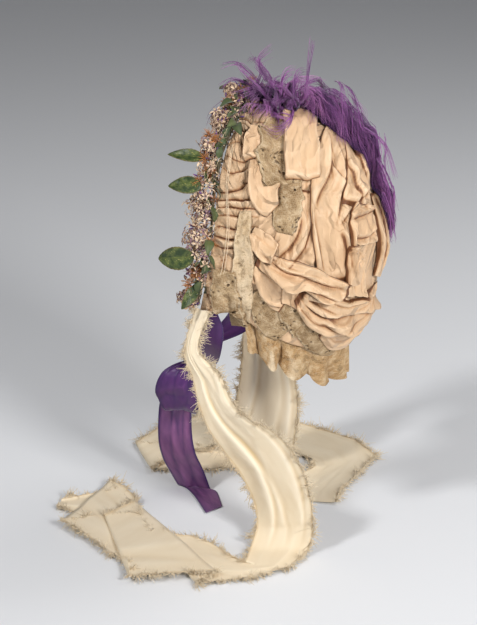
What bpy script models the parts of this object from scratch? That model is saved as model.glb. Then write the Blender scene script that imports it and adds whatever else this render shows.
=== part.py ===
"""Poke bonnet: draped silk crown, ruched brim, lace, a wreath, a plume and long fringed ties.

Metres, +Z up. The wearer faces -Y and the wearer's left is +X. The origin is the point at
the top of the head that carries the bonnet. A share is a part of the size that it multiplies.
"""

import bmesh
import bpy
import numpy as np
from mathutils.bvhtree import BVHTree

# Crown: an egg form behind and below the seat
CROWN_HALF_WIDTH = 0.080
CROWN_HALF_DEPTH = 0.087
CROWN_HALF_HEIGHT = 0.126
CROWN_BEHIND_SEAT = 0.018
CROWN_ABOVE_SEAT = 0.005
CROWN_WALL = 0.002
CROWN_FOLD_DEPTH = 0.0018
SEAM_RISE = 0.014

# Brim: an arch over the face, ruched across
BRIM_HALF_WIDTH = 0.084
BRIM_HALF_HEIGHT = 0.143
BRIM_REACH = 0.060
BRIM_WALL = 0.002
BRIM_BULGE = 0.004
BRIM_LOWEST = -18.0
RIB_HEIGHT = 0.0022
RIBS = 38

# Nape frill
RUFFLE_DEPTH = 0.034
RUFFLE_TUCK = 0.006
RUFFLE_FLUTE = 0.0035
RUFFLES = 15
RUFFLE_WALL = 0.0012

# Silk loops and lace on the crown
GAP = 0.0004
LOOP_HEIGHT = 0.0075
SILK_WALL = 0.0012
LACE_WALL = 0.0010
LACE_HEIGHT = 0.0030
PLEAT_HEIGHT = 0.0022

# Plume
PLUME_HEIGHT = 0.015
PLUME_RIM = 0.0015
WISP_RADIUS = 0.0022
PLUME_REACH = 0.100

# Wreath along the brim's front edge
STEM_RADIUS = 0.0016
HEAD_RADIUS = 0.0118
SPRIG_RADIUS = 0.0074
LEAF_WALL = 0.0010
LEAF_LENGTH = 0.034

# Ties
FLOOR_DEPTH = 0.396
TIE_SPREAD = 0.200
TIE_WALL = 0.0010
TIE_LAYER = 0.0021
TIE_PLEAT = 0.0050
FRINGE = 0.008

# Purple ribbon
CHIN_DROP = 0.236
CHIN_FORWARD = 0.076
RIBBON_WIDTH = 0.028
RIBBON_WALL = 0.0010
KNOT_RADIUS = 0.008
KNOT_FOLD = 0.1
BOW_SIZE = 0.060

# Map of the crown, in degrees from one ear
MAP_STEP = 1.5
MAP_HALF = 80
MAP_REACH = 4.0

# How a piece is let down on those below: from how high, to how low, in these steps
SETTLE_FROM = 0.0030
SETTLE_TO = -0.0100
SETTLE_STEP = 0.0001

CROWN_RADII = np.array([CROWN_HALF_WIDTH, CROWN_HALF_DEPTH, CROWN_HALF_HEIGHT])
CROWN_CENTRE = np.array([0.0, CROWN_BEHIND_SEAT, CROWN_ABOVE_SEAT - CROWN_HALF_HEIGHT])

# Crown's edge: degrees round the back pole from the left, degrees out from the back pole,
# share of the rise at the seam
EDGE = np.array([
    (-90, 47, 0.10),
    (-68, 51, 0.10),
    (-43, 66, 0.15),
    (-33, 82, 0.22),
    (-26, 97, 0.30),
    (-18, 108, 0.40),
    (0, 100, 0.38),
    (30, 101, 0.45),
    (60, 104, 0.62),
    (90, 106, 1.00),
])

# Brim's front edge: degrees round from the left, share of the reach
FRONT = np.array([
    (-18, 1.00),
    (-8, 0.90),
    (5, 0.80),
    (15, 0.75),
    (30, 0.75),
    (45, 0.70),
    (60, 0.60),
    (75, 0.60),
    (90, 0.65),
])

# Silk and lace pieces, lowest first. Each row: degrees to the back from the ear, degrees up,
# half the width in degrees, share of the height
DRAPED = {
    "lace_fall_lower": {"kind": "lace", "rows": [
        (15, 42, 8, 0.3), (14, 30, 12, 0.6), (12, 18, 12, 0.5), (10, 8, 10, 0.2)]},
    "lace_nape_side": {"kind": "lace", "rows": [
        (-5, -9, 5, 0.2), (0, -17, 8, 0.5), (6, -25, 8, 0.6), (10, -31, 6, 0.4)]},
    "lace_nape_square": {"kind": "lace", "rows": [
        (14, -12, 7, 0.3), (20, -19, 9, 0.7), (25, -28, 8, 0.5)]},
    "lace_nape_back": {"kind": "lace", "rows": [
        (24, -24, 7, 0.3), (31, -34, 8, 0.6), (40, -46, 7, 0.6), (47, -52, 5, 0.3)]},
    "panel_side": {"kind": "silk", "pleats": 1, "rows": [
        (20, 36, 9, 0.3), (20, 22, 10, 0.7), (19, 9, 11, 0.8), (18, -2, 9, 0.4)]},
    "panel_side_lower": {"kind": "silk", "pleats": 1, "rows": [
        (-4, 3, 5, 0.2), (3, -2, 7, 0.6), (9, -8, 8, 0.7), (14, -13, 6, 0.3)]},
    "panel_back": {"kind": "silk", "pleats": 2, "rows": [
        (49, 88, 11, 0.4), (46, 66, 13, 0.9), (42, 42, 13, 1.0), (42, 18, 12, 0.9),
        (44, -8, 8, 0.4)]},
    "lace_fall_upper": {"kind": "lace", "rows": [
        (-2, 76, 6, 0.3), (1, 64, 12, 0.7), (5, 50, 13, 0.8), (8, 36, 11, 0.4)]},
    "loop_front_lower": {"kind": "loop", "pleats": 1, "rows": [
        (-5, 47, 7, 0.5), (-2, 40, 8, 1.0), (0, 31, 8, 1.0), (5, 25, 4, 0.7)]},
    "loop_front_upper": {"kind": "loop", "pleats": 1, "rows": [
        (-10, 60, 5, 0.5), (-10, 53, 6, 1.0), (-9, 44, 6, 0.9)]},
    "loop_centre": {"kind": "loop", "pleats": 1, "rows": [
        (7, 98, 14, 0.5), (13, 80, 13, 0.9), (18, 60, 11, 1.0), (21, 40, 10, 1.1)]},
    "loop_back_upper": {"kind": "loop", "pleats": 3, "rows": [
        (64, 90, 9, 0.5), (65, 70, 11, 1.0), (64, 48, 12, 1.1), (60, 28, 12, 0.9)]},
    "loop_back_square": {"kind": "loop", "pleats": 1, "rows": [
        (66, 31, 10, 0.6), (66, 21, 12, 1.1), (66, 10, 12, 1.0)]},
    "loop_back_point": {"kind": "loop", "pleats": 2, "rows": [
        (63, 6, 3, 0.5), (60, -4, 7, 1.0), (58, -18, 9, 1.0)]},
    "loop_back_knot": {"kind": "silk", "rows": [
        (55, 11, 3, 0.6), (56, 2, 5, 1.2), (55, -8, 4, 0.6)]},
    "back_strip": {"kind": "loop", "pleats": 1, "rows": [
        (84, 42, 4, 0.5), (92, 22, 7, 1.2), (93, 2, 8, 1.3), (85, -14, 6, 0.8)]},
    "fold_panel": {"kind": "silk", "pleats": 1, "rows": [
        (21, -2, 6, 0.3), (19, -8, 7, 0.9), (16, -15, 5, 0.5)]},
    "puff_lower": {"kind": "loop", "pleats": 3, "rows": [
        (36, -28, 5, 0.5), (50, -38, 11, 1.0), (68, -42, 13, 1.1), (86, -40, 8, 0.7)]},
    "swag_lower": {"kind": "silk", "pleats": 3, "rows": [
        (22, -8, 5, 0.5), (32, -17, 9, 1.2), (46, -24, 9, 1.3), (62, -25, 7, 1.1),
        (80, -27, 8, 0.9), (93, -29, 6, 0.5)]},
    "band_diagonal": {"kind": "silk", "pleats": 2, "rows": [
        (-2, 6, 3, 0.5), (13, 1, 5, 1.0), (27, -2, 5, 1.1), (38, -7, 5, 1.0), (51, -11, 4, 0.6)]},
    "loop_side_small": {"kind": "loop", "pleats": 1, "rows": [
        (-6, 15, 3, 0.5), (1, 11, 5, 1.0), (8, 8, 4, 0.9)]},
    "lace_side_strip": {"kind": "lace", "rows": [
        (-10, 23, 3, 0.5), (-9, 8, 5, 1.0), (-10, -8, 5, 1.0), (-13, -24, 4, 0.6)]},
    "lace_cheek": {"kind": "lace", "rows": [
        (-19, 0, 6, 0.3), (-19, -10, 7, 0.8), (-18, -20, 7, 1.6), (-17, -28, 6, 3.6)]},
}

# The hidden right side, from the right ear, in the same columns
DRAPED_RIGHT = {
    "right_lace": {"kind": "lace", "rows": [
        (-12, 44, 6, 0.4), (-8, 20, 9, 0.8), (-8, -4, 9, 0.8), (-8, -26, 6, 0.4)]},
    "right_panel": {"kind": "silk", "pleats": 3, "rows": [
        (18, 66, 14, 0.5), (22, 44, 18, 1.0), (26, 18, 18, 1.0), (30, -8, 13, 0.5)]},
    "right_loop": {"kind": "loop", "pleats": 2, "rows": [
        (52, 52, 8, 0.6), (54, 30, 12, 1.1), (52, 4, 12, 1.0)]},
    "right_swag": {"kind": "silk", "pleats": 3, "rows": [
        (2, -14, 7, 0.5), (20, -24, 9, 1.1), (40, -30, 9, 1.2), (58, -30, 8, 0.6)]},
}

# Plume over the crown. Same columns, height as share of the plume's
PLUME_FALL = [
    (-2, 90, 8, 0.7), (20, 92, 16, 1.6), (40, 86, 18, 1.9), (60, 74, 16, 1.5), (76, 56, 11, 1.1),
    (87, 36, 8, 0.9), (93, 14, 5, 0.6)]
PLUME_TUFT = [
    (-31, 84, 6, 0.8), (-18, 86, 13, 1.9), (-4, 88, 15, 2.0), (8, 88, 10, 0.9)]

# Curled tips: start, bend and tip, as shares of the plume's reach from the seat
FALL_TIPS = [
    ((0.02, 0.34, 0.30), (0.03, 0.36, 0.50), (0.02, 0.39, 0.73)),
    ((0.05, 0.90, -0.02), (0.05, 1.08, -0.16), (0.03, 1.18, -0.48)),
    ((0.02, 1.02, -0.30), (0.06, 1.14, -0.52), (0.05, 1.20, -0.80)),
    ((0.04, 1.08, -0.62), (0.03, 1.16, -0.84), (0.00, 1.19, -1.06)),
]
TUFT_TIPS = [
    ((0.10, -0.08, 0.34), (0.20, -0.24, 0.52), (0.24, -0.38, 0.50)),
    ((0.12, -0.12, 0.30), (0.26, -0.28, 0.40), (0.28, -0.40, 0.32)),
    ((0.08, -0.02, 0.36), (0.12, -0.08, 0.54), (0.10, 0.04, 0.66)),
    ((-0.04, -0.04, 0.34), (-0.12, -0.18, 0.50), (-0.20, -0.26, 0.46)),
]

# Floret heads and sprigs on the wreath's stem: degrees round, size, and stretch along the stem
HEADS = {
    "florets_1": (86, 0.85, 1.00),
    "florets_2": (61, 1.00, 1.05),
    "florets_3": (47.5, 1.05, 1.10),
    "florets_4": (22.5, 1.15, 1.20),
    "florets_5": (10.5, 1.15, 1.15),
    "florets_6": (-13.5, 0.90, 1.00),
    "florets_7": (106, 0.95, 1.20),
    "florets_8": (128, 1.10, 1.25),
    "florets_9": (151, 1.15, 1.25),
    "florets_10": (177, 1.10, 1.20),
}
SPRIGS = {
    "sprig_1": (74, 0.95, 1.15),
    "sprig_2": (35.5, 1.05, 1.20),
    "sprig_3": (-2.5, 1.00, 1.30),
    "sprig_4": (141, 1.05, 1.20),
}

# Leaves from the stem: degrees round, then tip forward, outward and up in leaf lengths,
# half the width in leaf lengths, and the share of the way at which the blade starts
LEAVES = {
    "leaf_upper": (40.5, (1.35, 0.15, 0.02), 0.17, 0.45),
    "leaf_round": (29.8, (1.15, 0.25, -0.12), 0.22, 0.40),
    "leaf_large": (4.5, (1.30, 0.05, -0.22), 0.30, 0.35),
    "leaf_lower": (-6.8, (0.35, 0.50, -0.55), 0.16, 0.25),
    "leaf_right_upper": (118, (1.20, 0.20, 0.05), 0.20, 0.40),
    "leaf_right_large": (166, (1.25, 0.10, -0.15), 0.26, 0.35),
}

# Ties from the brim's lower corner. Front edge then rear edge: out and back in spreads,
# share of the way down, and pleat depth
TIE_LEFT_HANG = [
    (0.018, -0.085, -0.010, 0.018, -0.020, 0.000, 0.0),
    (0.028, -0.140, 0.171, 0.022, -0.074, 0.158, 0.5),
    (0.010, -0.105, 0.303, 0.010, 0.030, 0.269, 0.7),
    (0.000, -0.075, 0.423, 0.010, 0.075, 0.359, 0.7),
    (-0.020, -0.030, 0.530, 0.010, 0.170, 0.436, 0.8),
    (-0.060, 0.030, 0.645, 0.000, 0.280, 0.487, 1.0),
    (-0.065, 0.100, 0.735, -0.020, 0.390, 0.611, 1.1),
    (-0.070, 0.165, 0.850, -0.030, 0.450, 0.765, 1.0),
    (-0.050, 0.190, 0.955, -0.030, 0.470, 0.900, 0.6),
]
TIE_RIGHT_HANG = [
    (0.018, -0.110, -0.010, 0.018, -0.010, 0.000, 0.0),
    (0.025, -0.140, 0.316, -0.005, 0.090, 0.338, 1.1),
    (0.050, -0.170, 0.615, 0.010, 0.155, 0.637, 0.9),
    (0.090, -0.240, 0.872, 0.040, 0.130, 0.906, 0.5),
]
# Lying part: front edge, rear edge, and how many layers up. A fold is two rows at one place.
TIE_LEFT_LYING = [
    (0.050, 0.190, -0.010, 0.460, 0.4),
    (0.200, 0.210, 0.190, 0.410, 0.1),
    (0.140, 0.110, 0.340, 0.260, 0.0),
    (0.060, -0.010, 0.410, 0.140, 0.0),
    (0.020, -0.130, 0.440, 0.090, 0.0),
    (0.075, -0.295, 0.460, 0.060, 0.0),
    (0.075, -0.295, 0.460, 0.060, 1.0),
    (-0.220, -0.495, 0.350, 0.120, 1.0),
    (-0.220, -0.495, 0.350, 0.120, 2.0),
    (-0.120, -0.535, 0.435, -0.060, 2.1),
    (-0.015, -0.575, 0.520, -0.245, 2.0),
    (-0.015, -0.575, 0.520, -0.245, 1.0),
    (-0.090, -0.460, 0.400, -0.270, 1.0),
    (-0.090, -0.460, 0.400, -0.270, 0.0),
    (-0.250, -0.495, 0.300, -0.430, 0.1),
    (-0.340, -0.595, 0.190, -0.600, 1.7),
    (-0.405, -0.705, 0.095, -0.750, 2.0),
    (-0.405, -0.705, 0.095, -0.750, 1.0),
    (-0.290, -0.630, -0.010, -0.650, 1.0),
    (-0.290, -0.630, -0.010, -0.650, 0.0),
    (-0.260, -0.740, -0.050, -0.740, 0.0),
    (-0.150, -0.860, -0.090, -0.865, 0.0),
]
TIE_RIGHT_LYING = [
    (0.120, -0.330, 0.040, 0.000, 0.1),
    (0.190, -0.510, -0.100, -0.290, 0.0),
    (0.080, -0.750, -0.180, -0.570, 0.0),
    (0.080, -0.750, -0.180, -0.570, 1.0),
    (0.350, -0.695, 0.060, -0.460, 1.0),
    (0.580, -0.510, 0.240, -0.270, 1.0),
    (0.640, -0.120, 0.260, -0.060, 0.4),
    (0.580, 0.105, 0.240, 0.090, 0.0),
    (0.490, 0.340, 0.190, 0.190, 0.0),
    (0.330, 0.490, 0.100, 0.230, 0.0),
    (0.160, 0.470, 0.000, 0.190, 0.0),
    (-0.160, 0.420, -0.140, 0.170, 0.0),
    (-0.270, 0.440, -0.290, 0.180, 0.0),
]

# Purple ribbon under the chin. Degrees round where it lies inside the brim, and from where to
# where across; then out, forward and down as shares of the way from brim to chin
STRAP_SEAT = np.array([6.0, -5.0, -16.0])
STRAP_ACROSS = (0.96, 0.56)
STRAP = np.array([
    (0.97, 0.03, 0.25),
    (0.86, 0.14, 0.58),
    (0.64, 0.40, 0.87),
    (0.34, 0.80, 0.99),
    (0.00, 1.00, 1.00),
])

# Bow, from its knot in bow sizes: one edge, then the other
BOW_LOOP = [
    (0.103, -0.07, -0.078, 0.103, 0.05, -0.078),
    (0.34, -0.34, -0.17, 0.34, 0.18, -0.17),
    (0.42, -0.46, -0.48, 0.42, 0.30, -0.44),
    (0.34, -0.38, -0.82, 0.36, 0.20, -0.78),
    (0.14, -0.30, -0.92, 0.16, 0.14, -0.88),
    (-0.02, -0.36, -0.70, 0.00, 0.22, -0.68),
    (-0.03, -0.28, -0.42, -0.01, 0.16, -0.42),
    (0.03, -0.07, -0.17, 0.03, 0.05, -0.17),
]
BOW_TAIL_FRONT = [
    (-0.075, -0.12, -0.115, -0.075, 0.00, -0.115),
    (-0.20, -0.42, -0.50, -0.20, -0.06, -0.52),
    (-0.22, -0.62, -0.94, -0.22, -0.08, -1.00),
    (-0.16, -0.64, -1.40, -0.16, -0.06, -1.50),
    (-0.18, -0.62, -1.80, -0.16, 0.00, -1.86),
    (-0.30, -0.52, -2.20, -0.26, 0.12, -2.22),
    (-0.34, -0.30, -2.60, -0.34, 0.24, -2.60),
    (-0.06, 0.00, -2.60, -0.26, 0.36, -2.60),
    (0.52, 0.42, -2.60, 0.20, 0.60, -2.60),
]
BOW_TAIL_BACK = [
    (-0.095, 0.04, -0.075, -0.095, 0.14, -0.105),
    (-0.34, 0.10, -0.66, -0.34, 0.38, -0.58),
    (-0.48, 0.20, -1.20, -0.50, 0.58, -1.10),
    (-0.60, 0.30, -1.80, -0.64, 0.74, -1.70),
]

COLOURS = {
    "silk": (0.86, 0.70, 0.53, 1.0),
    "lace": (0.68, 0.52, 0.34, 1.0),
    "tie": (0.86, 0.76, 0.58, 1.0),
    "purple": (0.16, 0.07, 0.22, 1.0),
    "plume": (0.27, 0.12, 0.36, 1.0),
    "floret": (0.80, 0.70, 0.60, 1.0),
    "sprig": (0.55, 0.27, 0.10, 1.0),
    "leaf": (0.10, 0.17, 0.05, 1.0),
}


def material(slot):
    """One Principled material per slot, in the colour of the table."""
    found = bpy.data.materials.get(slot)
    if found:
        return found
    made = bpy.data.materials.new(slot)
    made.use_nodes = True
    shader = made.node_tree.nodes["Principled BSDF"]
    shader.inputs["Base Color"].default_value = COLOURS[slot]
    shader.inputs["Roughness"].default_value = 0.8
    shader.inputs["Metallic"].default_value = 0.0
    return made


def new_object(name, points, faces, slot):
    """Mesh object from an array of points and a list of faces."""
    mesh = bpy.data.meshes.new(name)
    mesh.from_pydata(points.reshape(-1, 3).tolist(), [], faces)
    mesh.materials.append(material(slot))
    made = bpy.data.objects.new(name, mesh)
    bpy.context.scene.collection.objects.link(made)
    return made


def face_out(made):
    """Turns the faces of one closed body outwards and shades it smooth."""
    shape = bmesh.new()
    shape.from_mesh(made.data)
    bmesh.ops.recalc_face_normals(shape, faces=shape.faces)
    shape.to_mesh(made.data)
    shape.free()
    made.data.shade_smooth()


def grid_faces(rows, columns, closed=False):
    """Quads between neighbouring rows and columns of a grid of points."""
    number = np.arange(rows * columns).reshape(rows, columns)
    if closed:
        number = np.column_stack([number, number[:, 0]])
    quads = np.stack([number[:-1, :-1], number[1:, :-1], number[1:, 1:], number[:-1, 1:]], axis=-1)
    return quads.reshape(-1, 4).tolist()


def sheet(name, grid, wall, slot, closed=False, cap=None):
    """Cloth wall: a grid through its middle, thickened by half the wall to each side."""
    rows, columns = grid.shape[:2]
    points = grid.reshape(-1, 3)
    faces = grid_faces(rows, columns, closed)
    if cap is not None:
        points = np.vstack([points, cap])
        pole = rows * columns
        faces += [(pole, i, (i + 1) % columns) for i in range(columns)]
    made = new_object(name, points, faces, slot)
    solid = made.modifiers.new("wall", "SOLIDIFY")
    solid.thickness = wall
    solid.offset = 0.0
    made.data.shade_smooth()
    return made


def through(rows, count):
    """Smooth curve through the rows: cubic pieces with slopes from the neighbouring rows."""
    rows = np.asarray(rows, float)
    last = len(rows) - 1
    place = np.linspace(0, last, count)
    start = np.minimum(place.astype(int), last - 1)
    t = (place - start)[:, None]
    first = rows[start]
    second = rows[start + 1]
    slope_first = (second - rows[np.maximum(start - 1, 0)]) / 2
    slope_second = (rows[np.minimum(start + 2, last)] - first) / 2
    rise = 3 * t**2 - 2 * t**3
    return (first * (1 - rise) + second * rise
            + slope_first * (t**3 - 2 * t**2 + t) + slope_second * (t**3 - t**2))


def straight(rows, pieces):
    """Straight lines between the rows, each cut into the same number of pieces."""
    rows = np.asarray(rows, float)
    t = np.arange(pieces)[None, :, None] / pieces
    cut = rows[:-1, None] * (1 - t) + rows[1:, None] * t
    return np.vstack([cut.reshape(-1, rows.shape[1]), rows[-1:]])


def unit(vectors):
    """Vectors of length one."""
    return vectors / np.maximum(np.linalg.norm(vectors, axis=-1, keepdims=True), 1e-9)


def crown_direction(side, back, up):
    """Direction from the crown's centre, at degrees back and up from the ear on that side."""
    away = np.radians(np.hypot(back, up))
    turn = np.arctan2(up, back)
    return np.stack([side * np.cos(away), np.sin(away) * np.cos(turn), np.sin(away) * np.sin(turn)], -1)


def crown_point(direction, lift):
    """Point over the crown's egg form, lifted straight out from its centre."""
    shell = CROWN_RADII * direction
    length = np.linalg.norm(shell, axis=-1, keepdims=True)
    return CROWN_CENTRE + shell * (1 + np.asarray(lift)[..., None] / length)


def crown_place(side, points):
    """Degrees back and up from the ear, and the lift, of any points: the reverse of the above."""
    arm = points - CROWN_CENTRE
    stretched = arm / CROWN_RADII
    size = np.linalg.norm(stretched, axis=-1)
    away = np.degrees(np.arccos(np.clip(side * stretched[..., 0] / size, -1, 1)))
    turn = np.arctan2(stretched[..., 2], stretched[..., 1])
    lift = np.linalg.norm(arm, axis=-1) * (1 - 1 / size)
    return away * np.cos(turn), away * np.sin(turn), lift


def placed_tree():
    """Search tree of every wall made so far, with its thickness."""
    graph = bpy.context.evaluated_depsgraph_get()
    points = []
    faces = []
    for made in bpy.context.scene.objects:
        shape = made.evaluated_get(graph).to_mesh()
        start = len(points)
        points += [tuple(vertex.co) for vertex in shape.vertices]
        faces += [[start + i for i in face.vertices] for face in shape.polygons]
    return BVHTree.FromPolygons(points, faces)


def refined(grid, fill):
    """Grid with each cell cut into fill by fill smaller ones."""
    rows, columns = grid.shape[:2]
    down = np.linspace(0, rows - 1, (rows - 1) * fill + 1)
    over = np.linspace(0, columns - 1, (columns - 1) * fill + 1)
    i = np.minimum(down.astype(int), rows - 2)
    j = np.minimum(over.astype(int), columns - 2)
    s = (down - i)[:, None, None]
    t = (over - j)[None, :, None]
    near = grid[i][:, j] * (1 - t) + grid[i][:, j + 1] * t
    far = grid[i + 1][:, j] * (1 - t) + grid[i + 1][:, j + 1] * t
    return near * (1 - s) + far * s


def settle(grid, wall):
    """How far a piece moves, along its arms from the crown's centre, to lie a gap off the rest."""
    tree = placed_tree()
    fine = refined(grid, 4).reshape(-1, 3)
    arm = unit(fine - CROWN_CENTRE)
    near = 1.3 * GAP + wall / 2
    lift = SETTLE_FROM
    while lift > SETTLE_TO:
        points = (fine + arm * lift).tolist()
        if any(tree.find_nearest(point, near)[0] for point in points):
            break
        lift -= SETTLE_STEP
    return lift + SETTLE_STEP


class Layers:
    """The highest lift of what already lies on the crown, over a flat map of degrees from an ear."""

    def __init__(self, side):
        self.side = side
        self.lift = np.zeros((2 * MAP_HALF + 1, 2 * MAP_HALF + 1))

    def cell(self, degrees):
        """Row or column of the map for these degrees."""
        return np.clip(np.rint(degrees / MAP_STEP).astype(int) + MAP_HALF, 0, 2 * MAP_HALF)

    def cover(self, grid):
        """Adds a piece: its grid is filled in finely and the map keeps the highest lift."""
        back, up, lift = crown_place(self.side, refined(grid, 5))
        inside = np.hypot(back, up) < MAP_STEP * MAP_HALF
        np.maximum.at(self.lift, (self.cell(back[inside]), self.cell(up[inside])), lift[inside])

    def top(self, back, up, reach):
        """Highest lift within a reach, in degrees, of each place."""
        cells = max(1, int(round(reach / MAP_STEP)))
        spread = self.lift
        for axis in (0, 1):
            moved = [np.roll(spread, k, axis) for k in range(-cells, cells + 1)]
            spread = np.max(moved, axis=0)
        return spread[self.cell(back), self.cell(up)]


def crown_edge(around):
    """Degrees from the back pole and rise at the crown's edge, the same on both sides."""
    half = np.where(np.cos(np.radians(around)) >= 0, around, 180 - around)
    half = (half + 180) % 360 - 180
    reach = np.interp(half, EDGE[:, 0], EDGE[:, 1])
    rise = np.interp(half, EDGE[:, 0], EDGE[:, 2]) * SEAM_RISE
    return reach, rise


def crown_grid(rings, columns):
    """Crown wall's middle: rings from the back pole to the edge, with soft fanned folds."""
    around = np.linspace(-90, 270, columns, endpoint=False)
    reach, rise = crown_edge(around)
    share = np.linspace(0.08, 1.0, rings)[:, None]
    away = np.radians(share * reach)
    turn = np.radians(around)[None, :]
    direction = np.stack([np.sin(away) * np.cos(turn), np.cos(away) + 0 * turn,
                          np.sin(away) * np.sin(turn)], -1)
    fold = CROWN_FOLD_DEPTH * np.sin(turn * 9 + 3 * share) * share * (1 - share) * 3
    swell = np.clip((share - 0.55) / 0.45, 0, 1) ** 2
    lift = rise * swell + fold - CROWN_WALL / 2
    return crown_point(direction, lift)


def brim_point(around, across, ribbed=True):
    """Brim's middle, from the crown's edge (across 0) to the front edge (across 1).

    The arch is an ellipse. The band bulges between its edges and its ribs are a wave round it.
    """
    around, across = np.broadcast_arrays(around, across)
    reach, rise = crown_edge(around)
    away = np.radians(reach)
    turn = np.radians(around)
    seam_way = np.stack([np.sin(away) * np.cos(turn), np.cos(away), np.sin(away) * np.sin(turn)], -1)
    seam = crown_point(seam_way, rise - CROWN_WALL / 2)
    seam[..., 1] -= BRIM_WALL / 2 + GAP
    half = np.where(np.cos(turn) >= 0, around, 180 - around)
    forward = np.interp(half, FRONT[:, 0], FRONT[:, 1]) * BRIM_REACH
    outward = np.stack([np.cos(turn), 0 * turn, np.sin(turn)], -1)
    front = CROWN_CENTRE + outward * np.array([BRIM_HALF_WIDTH, 0, BRIM_HALF_HEIGHT])
    front[..., 1] -= forward
    share = (around - BRIM_LOWEST) / (180 - 2 * BRIM_LOWEST)
    rib = np.cos(2 * np.pi * RIBS * share) * RIB_HEIGHT if ribbed else 0
    hump = np.sin(np.pi * across)
    lift = BRIM_BULGE * hump + rib * np.sqrt(hump)
    return seam * (1 - across[..., None]) + front * across[..., None] + outward * lift[..., None]


def make_crown(maps):
    """Crown wall, which everything on it is laid over."""
    grid = crown_grid(8, 32)
    pole = crown_point(np.array([0.0, 1.0, 0.0]), np.array(-CROWN_WALL / 2))
    sheet("crown", grid, CROWN_WALL, "silk", closed=True, cap=pole)
    outer = np.concatenate([grid, grid[:, :1]], axis=1)
    arm = unit(outer - CROWN_CENTRE)
    for layers in maps:
        layers.cover(outer + arm * CROWN_WALL / 2)


def make_brim(maps):
    """Ruched band over the face, a zigzag of ribs round its arch."""
    columns = 2 * RIBS + 1
    around = np.linspace(BRIM_LOWEST, 180 - BRIM_LOWEST, columns)[None, :]
    across = np.array([0.0, 0.5, 1.0])[:, None]
    grid = brim_point(around, across)
    sheet("brim", grid, BRIM_WALL, "silk")
    arm = unit(grid - CROWN_CENTRE)
    for layers in maps:
        layers.cover(grid + arm * BRIM_WALL / 2)


def make_ruffle():
    """Nape frill: hangs from inside the crown's lower edge, in flutes that deepen downwards."""
    columns = 3 * RUFFLES + 1
    around = np.linspace(BRIM_LOWEST - 4, -180 - BRIM_LOWEST + 4, columns)
    reach, rise = crown_edge(around)
    away = np.radians(reach)
    turn = np.radians(around)
    way = np.stack([np.sin(away) * np.cos(turn), np.cos(away), np.sin(away) * np.sin(turn)], -1)
    inside = rise - CROWN_WALL - RUFFLE_WALL / 2 - 3 * GAP - RUFFLE_FLUTE * 0.5
    edge = crown_point(way, inside)
    outward = unit((edge - CROWN_CENTRE) * np.array([1, 1, 0]))
    wave = np.cos(np.linspace(0, RUFFLES * 2 * np.pi, columns))
    down = np.array([-RUFFLE_TUCK, 0.30 * RUFFLE_DEPTH, RUFFLE_DEPTH])
    flute = np.array([0.15, 0.6, 1.3]) * RUFFLE_FLUTE
    slope = np.array([0.0, -0.12, -0.16])
    grid = (edge[None] - down[:, None, None] * np.array([0, 0, 1])
            + outward[None] * (flute[:, None] * wave + (slope * RUFFLE_DEPTH)[:, None])[..., None])
    sheet("nape_ruffle", grid, RUFFLE_WALL, "lace")


def draped_grid(layers, rows, along, wall, height, pleats, across, under=False):
    """Grid of a piece laid on the crown.

    A smooth line through the rows gives the middle and the width. The lift is the top of what
    lies below, plus a swell that falls towards the edges, plus pleats side by side. A loop's
    cloth turns under at its end and runs back below itself.
    """
    line = through(rows, along)
    v = np.linspace(-1, 1, across)
    step = np.gradient(line[:, :2], axis=0)
    lateral = unit(np.stack([-step[:, 1], step[:, 0]], -1))
    back = line[:, 0, None] + lateral[:, 0, None] * line[:, 2, None] * v
    up = line[:, 1, None] + lateral[:, 1, None] * line[:, 2, None] * v
    base = layers.top(back, up, MAP_REACH) + GAP + wall / 2
    swell = height * line[:, 3, None] * (1 - 0.55 * v**2)
    wave = PLEAT_HEIGHT * np.cos(np.pi * pleats * (v + 1)) * line[:, 3, None] if pleats else 0
    lift = base + swell + np.maximum(wave, -0.6 * swell)
    if under:
        back = np.vstack([back, back[-1:], back[-2:-4:-1]])
        up = np.vstack([up, up[-1:], up[-2:-4:-1]])
        lift = np.vstack([lift, base[-1:], base[-2:-4:-1]])
    way = crown_direction(layers.side, back, up)
    return crown_point(way, lift + settle(crown_point(way, lift), wall))


def make_draped(layers, maps, pieces):
    """Every silk and lace piece of a table, each laid on those before it."""
    for name, piece in pieces.items():
        lace = piece["kind"] == "lace"
        wall = LACE_WALL if lace else SILK_WALL
        height = LACE_HEIGHT if lace else LOOP_HEIGHT
        rows = piece["rows"]
        pleats = piece.get("pleats", 0)
        grid = draped_grid(layers, rows, 2 * len(rows) - 1, wall, height, pleats,
                           max(4, 2 * pleats + 1), piece["kind"] == "loop")
        sheet(name, grid, wall, "lace" if lace else "silk")
        arm = unit(grid - CROWN_CENTRE)
        for covered in maps:
            covered.cover(grid + arm * wall * 0.75)


def wisp(name, points, radius, slot):
    """Tapered four-sided tube through the points, thick at its root and closed at both ends."""
    rings, sides = 6, 4
    line = through(points, rings)
    step = unit(np.gradient(line, axis=0))
    across = unit(np.cross(step, np.array([0.3, 0.1, 1.0])))
    other = np.cross(step, across)
    turn = np.linspace(0, 2 * np.pi, sides, endpoint=False)
    size = radius * (1 - 0.8 * np.linspace(0, 1, rings))
    ring = across[:, None] * np.cos(turn)[:, None] + other[:, None] * np.sin(turn)[:, None]
    grid = line[:, None] + ring * size[:, None, None]
    count = rings * sides
    faces = grid_faces(rings, sides, closed=True)
    faces += [list(range(sides)), list(range(count - sides, count))]
    made = new_object(name, grid, faces, slot)
    face_out(made)
    return made


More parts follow.
